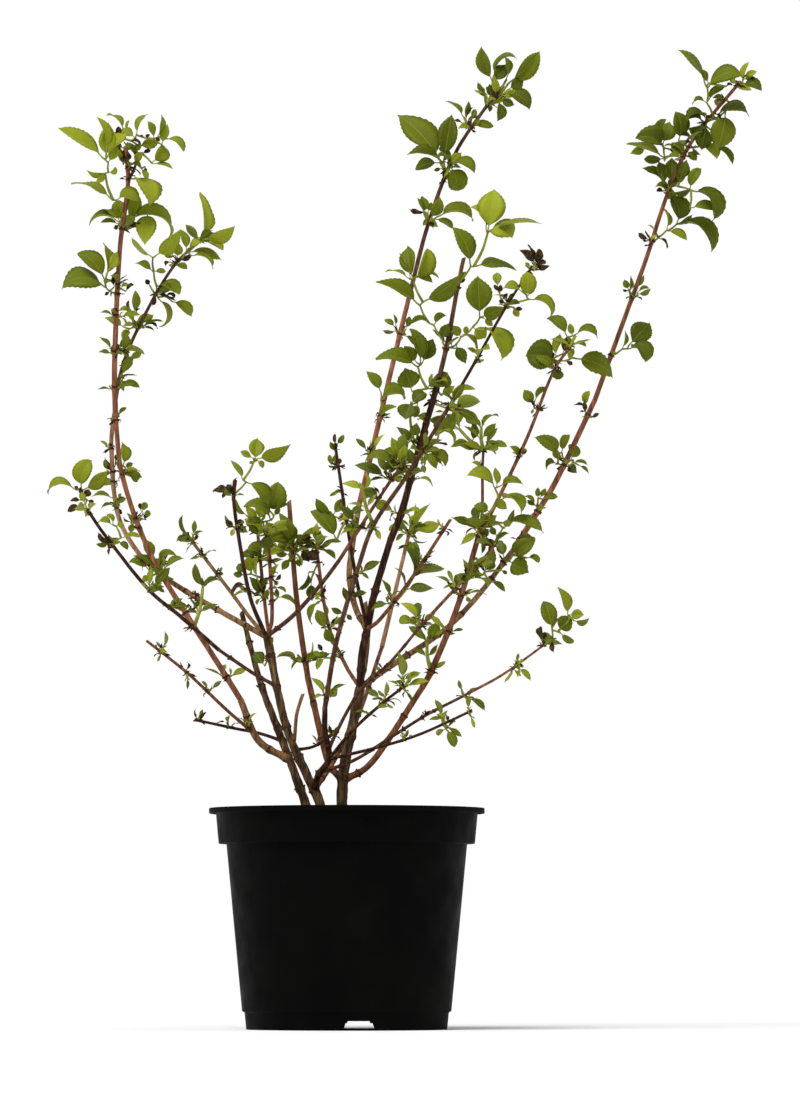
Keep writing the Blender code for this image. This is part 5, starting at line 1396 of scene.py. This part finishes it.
def add_leaf(sheaf, root, heading, length, roll, seed, withered=False):
    """One leaf on its petiole. The length is the whole one."""
    petiole = length * PETIOLE
    shape = LeafShape(seed, length - petiole)
    if withered:
        shape.wither(seed)
    add_blade(sheaf, root, leaf_axes(heading, roll), shape, petiole, withered)


def leaf_turn(length, bulge, seen):
    """How far a leaf's face is turned from the front, for its bulge and for the width that is seen."""
    width = max(seen, TRUE_WIDTH * length)
    return max(math.acos(seen / width), min(MOST_TURNED, TURNED * abs(bulge) / length))


def add_arched(sheaf, root, tip, bulge, seen, seed, withered=False):
    """One leaf from its petiole's foot to its tip. Its midrib bulges this far to the left of the line
    between them as seen from the front, and its blade looks this wide from there."""
    chord = tip - root
    along = chord.normalized()
    front = Vector((0, -1, 0))
    front = (front - along * front.dot(along)).normalized()
    turn = leaf_turn(chord.length, bulge, seen)
    side = math.copysign(1, bulge) if bulge else seed.choice((-1, 1))
    up = front * math.cos(turn) + front.cross(along) * side * math.sin(turn)
    shape = LeafShape(seed, chord.length * (1 - PETIOLE))
    shape.droop = seed.uniform(*PLACED_DROOP)
    if bulge:
        shape.droop = min(abs(bulge) / (BULGE_OF_DROOP * chord.length * math.sin(turn)), MOST_DROOP)
    forth, aside = shape.extent()
    length = chord.length / math.hypot(forth, aside)
    tilt = math.atan2(aside, forth)
    shape.length = length * (1 - PETIOLE)
    shape.width = FOLDED_AWAY * seen / math.cos(turn) / shape.length
    shape.twist *= PLACED_TWIST
    heading = along * math.cos(tilt) + up * math.sin(tilt)
    up = up * math.cos(tilt) - along * math.sin(tilt)
    if withered:
        shape.fold, shape.wave, shape.teeth = seed.uniform(*PLACED_DRY_FOLD), PLACED_DRY_WAVE, 0.0
    add_blade(sheaf, root, (heading, up.cross(heading), up), shape, length * PETIOLE, withered)


def tuft_leaf(seed, lean, size, index, count):
    """The heading and length of one leaf of a tuft. Leaves come in opposite pairs, each a quarter turn on."""
    pair = index // 2
    turn = math.pi * (0.5 + index + pair / 2) + seed.uniform(*TUFT_TURN_VARIES)
    low, high = TUFT_RISE
    rise = low + (high - low) * pair / max(1, count // 2) + seed.uniform(*TUFT_RISE_VARIES)
    heading = Vector((math.cos(turn) + TUFT_LEAN * lean, math.sin(turn), rise))
    return heading, size * TUFT_FADE**pair * seed.uniform(*TUFT_SIZE_VARIES)


def outward_roll(seed):
    """The roll of a leaf whose face looks out to the front, or now and then to the back."""
    roll = -math.pi / 2 + seed.uniform(*ROLL_VARIES)
    return roll + math.pi if seed.random() < FACING_BACK else roll


class Plant:
    """The limbs, and the sheaves that leaves, green shoots, scraps and buds are gathered in."""

    def __init__(self):
        self.limbs = {}
        paths = {}
        for name, row in {**BOUGHS, **MASSES}.items():
            self.limbs[name] = Limb(name, row, paths)
            paths[name] = self.limbs[name].path
        self.leaves = {green: Sheaf() for green in GREENS}
        self.shoots = Sheaf()
        self.withered = Sheaf()
        self.buds = Sheaf()
        self.twigs = Sheaf()
        self.forks = {}
        self.feet = {}
        self.tree, self.owners = self.limb_tree()

    def limb_tree(self):
        owners = [(limb, i) for limb in self.limbs.values() for i in range(len(limb.path))]
        tree = KDTree(len(owners))
        for index, (limb, i) in enumerate(owners):
            tree.insert(limb.path[i], index)
        tree.balance()
        return tree, owners

    def node(self, name, height):
        return node_at(self.limbs[name].path, height)

    def is_free(self, name, root, heading, length):
        """True if a leaf here stays clear of every limb but its own."""
        along = heading.normalized()
        for share in PROBES:
            for _, index, gap in self.tree.find_range(root + along * length * share, PROBE_REACH):
                limb, i = self.owners[index]
                if limb.name != name and gap < limb.radius(i) + CLEARANCE:
                    return False
        return True

    def green_for(self, key):
        """The green of a whole spray, dealt out by its seed."""
        names = list(GREENS)
        return random.Random(f"{key} green").choices(names, [GREENS[name][1] for name in names])[0]

    def grow_tuft(self, name, row):
        """Leaves all round a node, most of them to the front and back."""
        height, lean, size, count = row
        key = f"{name}/{height}"
        sheaf = self.leaves[self.green_for(key)]
        for index in range((count + 1) // 2):
            for attempt in range(TRIES):
                seed = random.Random(f"{key}/{index}/{attempt}")
                root = self.node(name, height + TUFT_STEP * (index // 2))
                heading, length = tuft_leaf(seed, lean, size * LEAF_SCALE, index, count)
                roll = seed.uniform(0, 2 * math.pi)
                if self.is_free(name, root, heading, length):
                    add_leaf(sheaf, root, heading, length, roll, seed)
                    break

    def add_pair(self, sheaf, place, ahead, length, spread, seed, withered=False):
        """Two opposite leaves at a node of a green twig."""
        across = ahead.cross(Vector((0, 1, 0))).normalized()
        across = Matrix.Rotation(seed.uniform(0, math.pi), 3, ahead) @ across
        for way in (-1, 1):
            heading = ahead + across * way * spread
            size = length * seed.uniform(*PAIR_SIZE_VARIES)
            add_leaf(sheaf, place - ahead * PAIR_SUNK, heading, size, outward_roll(seed), seed, withered)

    def grow_sprig(self, name, row):
        """A short side twig with a few leaves, or a long leafy shoot."""
        height, right, up, size = row
        size *= LEAF_SCALE
        key = f"{name}/{height}/{right}/{up}"
        reach = math.hypot(right, up)
        for attempt in range(TRIES):
            seed = random.Random(f"{key}/{attempt}")
            root = self.node(name, height)
            run = Vector((right, seed.uniform(-SPRIG_DEPTH, SPRIG_DEPTH) * reach, up))
            if self.is_free(name, root, run, max(reach, size)):
                break
        grow = self.grow_short if reach < LONG_SHOOT else self.grow_long
        grow(self.leaves[self.green_for(key)], root, run, size, seed)

    def grow_short(self, sheaf, root, run, size, seed):
        """A twig that ends in one main leaf, a smaller one across from it and a tiny pair."""
        ahead = run.normalized()
        tip = root + run * SPRIG_SHARE
        thick, thin = SPRIG_RADIUS
        path = [root, root.lerp(tip, 0.5), tip + ahead * SPRIG_LAP]
        add_tube(self.shoots, path, (thick, (thick + thin) / 2, thin), TWIG_SIDES)
        add_leaf(sheaf, tip, ahead, size, outward_roll(seed), seed)
        if size >= SECOND_LEAF:
            turn = Matrix.Rotation(seed.choice((-1, 1)) * seed.uniform(*SECOND_TURN), 3, "Y")
            heading = turn @ ahead + Vector((0, seed.uniform(*SECOND_DEPTH), SECOND_RISE))
            add_leaf(sheaf, tip, heading, size * seed.uniform(*SECOND_SIZE), outward_roll(seed), seed)
        withered = seed.random() < TINY_WITHERED
        tiny = max(TINY_LEAST, size * seed.uniform(*TINY_SIZE))
        ahead = (ahead + Vector((0, 0, TINY_RISE))).normalized()
        sheaf = self.withered if withered else sheaf
        self.add_pair(sheaf, tip, ahead, tiny, TINY_SPREAD, seed, withered)

    def grow_long(self, sheaf, root, run, size, seed):
        """A green shoot with two spread pairs of leaves and a small pair at its tip."""
        tip = root + run
        ahead = run.normalized()
        bow = Vector((run.x, 0, 0)).normalized() * run.length * TWIG_BOW
        path = add_twig(self.shoots, root, tip, bow, SHOOT_SPACING, SHOOT_RADIUS)
        side = ahead.cross(Vector((0, 1, 0))).normalized()
        for share, scale, spread in SHOOT_PAIRS:
            place = path[round(share * (len(path) - 1))]
            for way in (-1, 1):
                heading = ahead + side * way * spread
                heading += Vector((0, seed.uniform(*SHOOT_LEAF_DEPTH), 0))
                length = size * scale * seed.uniform(*SHOOT_LEAF_VARIES)
                add_leaf(sheaf, place, heading, length, outward_roll(seed), seed)
        scale, spread = SHOOT_TIP_PAIR
        self.add_pair(sheaf, tip, ahead, size * scale, spread, seed)

    def grow_fork(self, name, height, x, z):
        """A woody twig that forks off a limb."""
        root = self.node(name, height)
        tip = placed(x, root.y / DEPTH - FORK_FORWARD, z)
        bow = Vector((FORK_BOW * (tip - root).length, 0, 0))
        add_twig(self.twigs, root, tip, bow, FORK_SPACING, FORK_RADIUS, FORK_SIDES)
        self.forks.setdefault(name, []).append((height, tip))

    def foot_of(self, name, height, x, z):
        """The foot of a leaf's petiole. Its green twig starts at the nearest foot, fork or node there is."""
        key = name, height, x, z
        if key in self.feet:
            return self.feet[key]
        node = self.node(name, height)
        anchors = [node] + [tip for start, tip in self.forks.get(name, ()) if start <= height]
        anchors += [foot for other, foot in self.feet.items() if other[:2] == (name, height)]
        anchor = min(anchors, key=lambda place: math.hypot(place.x - x, place.z - z))
        way = 1 if x > node.x else -1
        seed = random.Random(f"{name}/{height}/{way}")
        level = placed(x, anchor.y / DEPTH, z)
        slope = seed.uniform(*TWIG_SLOPE) * seed.choice((-1, 1))
        foot = placed(x, (anchor.y + slope * (level - anchor).length) / DEPTH, z)
        reach = (foot - anchor).length
        if reach > LEAST_TWIG:
            least, growth, most = TWIG_THICK
            radii = [min(least + growth * reach, most) * share for share in TWIG_TAPER]
            bow = Vector((way, 0, 0)) * reach * TWIG_BOW
            add_twig(self.shoots, anchor, foot, bow, TWIG_SPACING, radii)
        self.feet[key] = foot
        return foot

    def settle_feet(self):
        """The feet of all leaves, the ones nearest to their node first, so that twigs run on from them."""
        feet = set()
        for name, groups in [*LEAVES.items(), *DRIED.items()]:
            for height, *_, rows in groups:
                node = self.node(name, height)
                for x, z, *_ in rows:
                    feet.add((math.hypot(x - node.x, z - node.z), name, height, x, z))
        for _, *foot in sorted(feet):
            self.foot_of(*foot)

    def grow_leaf(self, sheaf, name, height, row, withered=False):
        """One leaf of LEAVES or DRIED."""
        foot_x, foot_z, tip_x, tip_z, bulge, seen = row
        foot = self.foot_of(name, height, foot_x, foot_z)
        reach = math.hypot(tip_x - foot_x, tip_z - foot_z)
        for attempt in range(TRIES):
            seed = random.Random(f"{name}/{row}/{attempt}")
            tip = placed(tip_x, (foot.y + seed.uniform(-LEAF_SLOPE, LEAF_SLOPE) * reach) / DEPTH, tip_z)
            if self.is_free(name, foot, tip - foot, reach):
                break
        add_arched(sheaf, foot, tip, bulge, seen, seed, withered)

    def grow_placed(self):
        """All leaves of LEAVES and DRIED."""
        self.settle_feet()
        for name, groups in LEAVES.items():
            for height, green, rows in groups:
                for row in rows:
                    self.grow_leaf(self.leaves[green], name, height, row)
        for name, groups in DRIED.items():
            for height, rows in groups:
                for row in rows:
                    self.grow_leaf(self.withered, name, height, row, True)

    def grow_scraps(self, name, height):
        """Withered leaves and bud scales at a node."""
        seed = random.Random(f"{name}/{height}/scraps")
        for _ in range(seed.randint(*SCRAPS)):
            turn = seed.uniform(0, 2 * math.pi)
            heading = Vector((math.cos(turn), math.sin(turn), seed.uniform(*SCRAP_RISE)))
            root = self.node(name, height + seed.uniform(*SCRAP_PLACE))
            roll = seed.uniform(0, 2 * math.pi)
            add_leaf(self.withered, root, heading, seed.uniform(*SCRAP_LENGTH), roll, seed, True)
        if seed.random() < DRY_PAIR:
            root = self.node(name, height + DRY_PAIR_HEIGHT)
            length = seed.uniform(*DRY_PAIR_LENGTH)
            self.add_pair(self.withered, root, Vector((0, 0, 1)), length, DRY_PAIR_SPREAD, seed, True)

    def grow_buds(self, limb):
        """A pair of small dark buds at each node."""
        for node in limb.nodes:
            index = min(range(len(limb.path)), key=lambda i: abs(limb.lengths[i] - node))
            place, radius = limb.path[index], limb.radius(index)
            # At the very foot of a limb this points back from its tip
            ahead = (limb.path[min(index + 1, len(limb.path) - 1)] - limb.path[index - 1]).normalized()
            seed = random.Random(f"{limb.name}/{node:.1f} buds")
            side = Matrix.Rotation(seed.uniform(0, math.pi), 3, ahead) @ ahead.orthogonal().normalized()
            for way in (-1, 1):
                reach = seed.uniform(*BUD_REACH)
                foot = place + side * way * (radius - BUD_SUNK)
                tip = foot + (side * way * BUD_SPREAD + ahead).normalized() * reach
                path = [foot, *(foot.lerp(tip, share) for share in BUD_BENDS), tip]
                add_tube(self.buds, path, BUD_RADII, TWIG_SIDES)

    def grow(self):
        for name, rows in TUFTS.items():
            for row in rows:
                self.grow_tuft(name, row)
        for name, rows in SPRIGS.items():
            for row in rows:
                self.grow_sprig(name, row)
        for name, forks in FORKS.items():
            for fork in forks:
                self.grow_fork(name, *fork)
        self.grow_placed()
        for name, limb in self.limbs.items():
            for height in leafy_heights(name):
                self.grow_scraps(name, height)
            self.grow_buds(limb)


# Pot and compost


def rounded(points, radius, steps=3, most=0.45):
    """The open outline with its inner corners as small arcs, which take up this share of a side at most."""
    result = [points[0]]
    for before, corner, after in zip(points, points[1:], points[2:]):
        a, b, c = Vector(before), Vector(corner), Vector(after)
        cut = min(radius, (a - b).length * most, (c - b).length * most)
        start = b + (a - b).normalized() * cut
        end = b + (c - b).normalized() * cut
        for step in range(steps + 1):
            t = step / steps
            result.append(tuple(start * (1 - t) ** 2 + b * 2 * t * (1 - t) + end * t**2))
    return result + [points[-1]]


def turned(name, profile, sides, place):
    """A solid of revolution from an outline that starts and ends on the axis."""
    mesh = bpy.data.meshes.new(name)
    corners = [(radius * MM, 0.0, height * MM) for radius, height in profile]
    mesh.from_pydata(corners, [(i, i + 1) for i in range(len(corners) - 1)], [])
    obj = new_object(name, mesh)
    screw = obj.modifiers.new("Turn", "SCREW")
    screw.steps = sides
    screw.render_steps = sides
    screw.use_merge_vertices = True
    screw.merge_threshold = 0.00001
    screw.use_normal_calculate = True
    obj.location = place
    return obj


def collar_inner_radius(height):
    share = (height - COLLAR_FOOT) / (POT_HEIGHT - COLLAR_FOOT)
    return COLLAR_FOOT_RADIUS - WALL + share * (COLLAR_TOP_RADIUS - COLLAR_FOOT_RADIUS)


def pot_profile():
    floor_top = FOOT_HEIGHT + FLOOR
    ledge = COLLAR_FOOT + WALL
    lip_foot = POT_HEIGHT - LIP_DROP
    corners = (
        (0, floor_top),
        (BODY_FOOT_RADIUS - WALL, floor_top),
        (BODY_TOP_RADIUS - WALL, ledge),
        (collar_inner_radius(ledge), ledge),
        (collar_inner_radius(POT_HEIGHT), POT_HEIGHT),
        (LIP_RADIUS, POT_HEIGHT),
        (LIP_RADIUS, lip_foot),
        (LIP_RADIUS - WALL, lip_foot),
        (LIP_RADIUS - WALL, POT_HEIGHT - WALL),
        (COLLAR_TOP_RADIUS, POT_HEIGHT - WALL),
        (COLLAR_FOOT_RADIUS, COLLAR_FOOT),
        (BODY_TOP_RADIUS, COLLAR_FOOT),
        (BODY_FOOT_RADIUS, FOOT_HEIGHT + 1),
        (FOOT_TOP_RADIUS, FOOT_HEIGHT),
        (FOOT_RADIUS, 0),
        (FOOT_RADIUS - FLOOR, 0),
        (FOOT_TOP_RADIUS - FLOOR, FOOT_HEIGHT),
        (0, FOOT_HEIGHT),
    )
    return rounded(corners, EDGE)


def drain_notch(name, turn, place):
    """A long bar with sloping sides and rounded upper edges, which cuts a notch through the foot twice."""
    bm = bmesh.new()
    bmesh.ops.create_cube(bm, size=1.0)
    slope = (NOTCH_FOOT_WIDTH - NOTCH_TOP_WIDTH) / NOTCH_HEIGHT
    for vertex in bm.verts:
        height = NOTCH_HEIGHT if vertex.co.z > 0 else -NOTCH_HEIGHT / 2
        vertex.co.x = NOTCH_OFFSET + vertex.co.x * (NOTCH_FOOT_WIDTH - slope * height)
        vertex.co.y *= 3 * FOOT_RADIUS
        vertex.co.z = height
    along = [edge for edge in bm.edges if abs(edge.verts[0].co.y - edge.verts[1].co.y) > FOOT_RADIUS]
    upper = [edge for edge in along if edge.verts[0].co.z > 0]
    bmesh.ops.bevel(bm, geom=upper, offset=NOTCH_ROUNDING, segments=4, affect="EDGES")
    bm.transform(Matrix.Translation(place) @ Matrix.Rotation(turn, 4, "Z") @ Matrix.Scale(MM, 4))
    mesh = bpy.data.meshes.new(name)
    bm.to_mesh(mesh)
    bm.free()
    return new_object(name, mesh)


def apply_modifiers(obj):
    """Puts the object's mesh as its modifiers leave it in place of its own."""
    bpy.context.view_layer.update()
    graph = bpy.context.evaluated_depsgraph_get()
    mesh = bpy.data.meshes.new_from_object(obj.evaluated_get(graph))
    obj.modifiers.clear()
    obj.data = mesh


def make_pot(axis):
    pot = turned("nursery_pot", pot_profile(), POT_SIDES, axis)
    cutters = [drain_notch("notch", 0.0, axis), drain_notch("side_notch", math.radians(90), axis)]
    for cutter in cutters:
        cut = pot.modifiers.new(cutter.name, "BOOLEAN")
        cut.object = cutter
        cut.operation = "DIFFERENCE"
        cut.solver = "EXACT"
    apply_modifiers(pot)
    for cutter in cutters:
        bpy.data.objects.remove(cutter, do_unlink=True)
    pot.data.materials.clear()
    pot.data.materials.append(plastic_material())
    pot.data.shade_smooth()
    pot.data.set_sharp_from_angle(angle=SHARP)
    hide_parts("pot")
    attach(pot, "root")


def compost_height(x, y):
    """The lumpy level of the compost, sunk a little towards the wall of the pot."""
    lumps = sum(share * noise.noise(Vector((x, y, layer)) / length) for length, layer, share in LUMPS)
    start, run, fall = SLUMP
    edge = max(0.0, math.hypot(x, y) - start) / run
    return COMPOST_TOP - SINK + LUMP * lumps - fall * edge * edge


def compost_corners(rim):
    """The middle of the surface, its rings from there to the rim, and the rings of the body below."""
    corners = [Vector((0, 0, compost_height(0, 0)))]
    for ring in range(1, COMPOST_RINGS + 1):
        for across in circle(COMPOST_SIDES):
            x, y = (rim * ring / COMPOST_RINGS * c for c in across)
            corners.append(Vector((x, y, compost_height(x, y))))
    body = (
        (rim, COLLAR_FOOT + COMPOST_GAP),
        (BODY_TOP_RADIUS - COMPOST_GAP, COLLAR_FOOT + COMPOST_LEDGE),
        (BODY_FOOT_RADIUS - COMPOST_GAP, FOOT_HEIGHT + COMPOST_GAP),
    )
    for radius, height in body:
        corners += [Vector((radius * x, radius * y, height)) for x, y in circle(COMPOST_SIDES)]
    return corners


def compost_faces():
    """Triangles round the middle, the faces between the rings, and the flat underside."""
    sides = COMPOST_SIDES
    rings = COMPOST_RINGS + BODY_RINGS
    faces = [(0, 1 + step, 1 + (step + 1) % sides) for step in range(sides)]
    faces += [tuple(1 + i for i in face) for face in tube_faces(rings, sides)]
    last = rings * sides
    faces.append(tuple(range(last, last - sides, -1)))
    return faces


def strew(sheaf, name, slot, rim):
    """Small rough bits scattered over the compost."""
    count, sizes, shape = STREWN[name]
    seed = random.Random(name)
    bm = bmesh.new()
    bmesh.ops.create_icosphere(bm, subdivisions=1, radius=1.0)
    bit = [vertex.co.copy() for vertex in bm.verts]
    faces = [tuple(vertex.index for vertex in face.verts) for face in bm.faces]
    bm.free()
    for _ in range(count):
        reach = (rim - STREWN_MARGIN) * math.sqrt(seed.random())
        turn = seed.uniform(0, 2 * math.pi)
        x, y = reach * math.cos(turn), reach * math.sin(turn)
        size = seed.uniform(*sizes)
        spin = Matrix.Rotation(seed.uniform(*SPIN), 3, "Z")
        spin = spin @ Matrix.Rotation(seed.uniform(*TILT), 3, "X")
        centre = Vector((x, y, compost_height(x, y) + size * shape[2] / 2))
        corners = []
        for corner in bit:
            rough = seed.uniform(*UNEVEN)
            scaled = Vector([value * share * size * rough for value, share in zip(corner, shape)])
            corners.append(centre + spin @ scaled)
        sheaf.add(corners, faces, slot)


def make_compost(axis, place):
    """The compost's lumpy top, closed by the body under it, with bark chips and grit strewn on it."""
    sheaf = Sheaf()
    rim = collar_inner_radius(COMPOST_TOP) - RIM_GAP
    sheaf.add(compost_corners(rim), compost_faces(), 0)
    for slot, name in enumerate(STREWN, start=1):
        strew(sheaf, name, slot, rim)
    materials = [mottled_material(name) for name in ("compost", *STREWN)]
    compost = sheaf.build("potting_compost", place, materials)
    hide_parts("compost")
    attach(compost, "root")


# The whole plant


def dress_limbs(plant, place):
    """A bark mesh for every bough and for the stem of every mass."""
    scar = mottled_material("node scars")
    cut = mottled_material("cut wood")
    barks = {}
    for bark, (young, old, roughness, _) in BARKS.items():
        barks[bark] = bark_material(f"{bark} bark", young, old, roughness)
    for name, limb in plant.limbs.items():
        bark = BARK_OF.get(name, "russet")
        sides = BOUGH_SIDES if name in BOUGHS else STEM_SIDES
        sheaf = bark_sheaf(limb, BARKS[bark][3], sides)
        kind = "bark" if name in BOUGHS else "stem"
        piece = sheaf.build(f"{name}_{kind}", place, [barks[bark], scar, cut, barks["tan"]])
        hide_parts(name)
        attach(piece, "root")


def dress_leaves(plant, place):
    for green, (colour, _) in GREENS.items():
        upper = blade_material(f"{green} leaf", colour, 0.46)
        lower = blade_material(f"{green} leaf underside", mixed(colour, PALE_UNDERSIDE, 0.4), 0.6)
        rib = blade_material(f"{green} midrib", mixed(colour, PALE_RIB, 0.5), 0.5)
        piece = plant.leaves[green].build(f"{green}_leaves", place, [upper, lower, rib])
        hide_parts(*MASSES)
        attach(piece, "root")


def dress_details(plant, place):
    for sheaf, name, material, slot in (
        (plant.shoots, "green_shoots", shoot_material(), "leaf"),
        (plant.withered, "withered_leaves", mottled_material("withered leaf"), "leaf"),
        (plant.buds, "buds", mottled_material("bud scale"), "bark"),
        (plant.twigs, "forked_twigs", bark_material("forked twig", *BARKS["brown"][:3]), "bark"),
    ):
        piece = sheaf.build(name, place, [material])
        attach(piece, "root")


# Studio


def make_camera(axis):
    aim = axis + Vector((VIEW_SIDE, 0, AIM_HEIGHT)) * MM
    spot = axis + Vector((VIEW_SIDE, -VIEW_DISTANCE, VIEW_HEIGHT)) * MM
    data = bpy.data.cameras.new("camera")
    data.sensor_width = FILM
    data.lens = FILM * (aim - spot).length / (FRAME_HEIGHT * MM)
    data.clip_start = 0.1
    data.clip_end = 100.0
    camera = new_object("camera", data)
    camera.location = spot
    camera.rotation_euler = (aim - spot).to_track_quat("-Z", "Y").to_euler()
    bpy.context.scene.camera = camera


def make_sun(name, spot, strength, spread):
    """Even soft light over the whole plant from the direction of a spot."""
    data = bpy.data.lights.new(name, "SUN")
    data.energy = strength
    data.angle = math.radians(spread)
    light = new_object(name, data)
    light.location = spot
    light.rotation_euler = Vector(spot).to_track_quat("Z", "Y").to_euler()


def make_sky():
    """A white room that is dimmer as a light than as a backdrop."""
    world = bpy.data.worlds.new("studio")
    world.use_nodes = True
    tree = world.node_tree
    sky = tree.nodes["Background"]
    sky.inputs["Color"].default_value = WHITE
    sky.inputs["Strength"].default_value = SKY_LIGHT
    backdrop = tree.nodes.new("ShaderNodeBackground")
    backdrop.inputs["Color"].default_value = WHITE
    seen = tree.nodes.new("ShaderNodeLightPath").outputs["Is Camera Ray"]
    mix = tree.nodes.new("ShaderNodeMixShader")
    tree.links.new(seen, mix.inputs[0])
    tree.links.new(sky.outputs[0], mix.inputs[1])
    tree.links.new(backdrop.outputs[0], mix.inputs[2])
    tree.links.new(mix.outputs[0], tree.nodes["World Output"].inputs["Surface"])
    bpy.context.scene.world = world


def make_floor():
    bm = bmesh.new()
    bmesh.ops.create_grid(bm, x_segments=8, y_segments=8, size=FLOOR_SIZE)
    mesh = bpy.data.meshes.new("floor")
    bm.to_mesh(mesh)
    bm.free()
    surface = Surface("pale floor", (252, 252, 252), 0.9)
    surface.colour_from(surface.noise(3.0), ((0.3, (250, 250, 250)), (0.7, (254, 254, 254))))
    mesh.materials.append(surface.material)
    floor = new_object("floor", mesh)


def make_studio():
    bpy.context.scene.view_settings.view_transform = "Standard"
    make_sky()
    for name, light in SUNS.items():
        make_sun(name, *light)
    make_floor()


def main():
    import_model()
    low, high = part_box("pot")
    axis = Vector(((low[0] + high[0]) / 2, (low[1] + high[1]) / 2, low[2]))
    place = Matrix.Translation(axis) @ Matrix.Scale(MM, 4)
    make_camera(axis)
    plant = Plant()
    plant.grow()
    dress_limbs(plant, place)
    dress_leaves(plant, place)
    dress_details(plant, place)
    make_pot(axis)
    make_compost(axis, place)
    make_studio()


main()
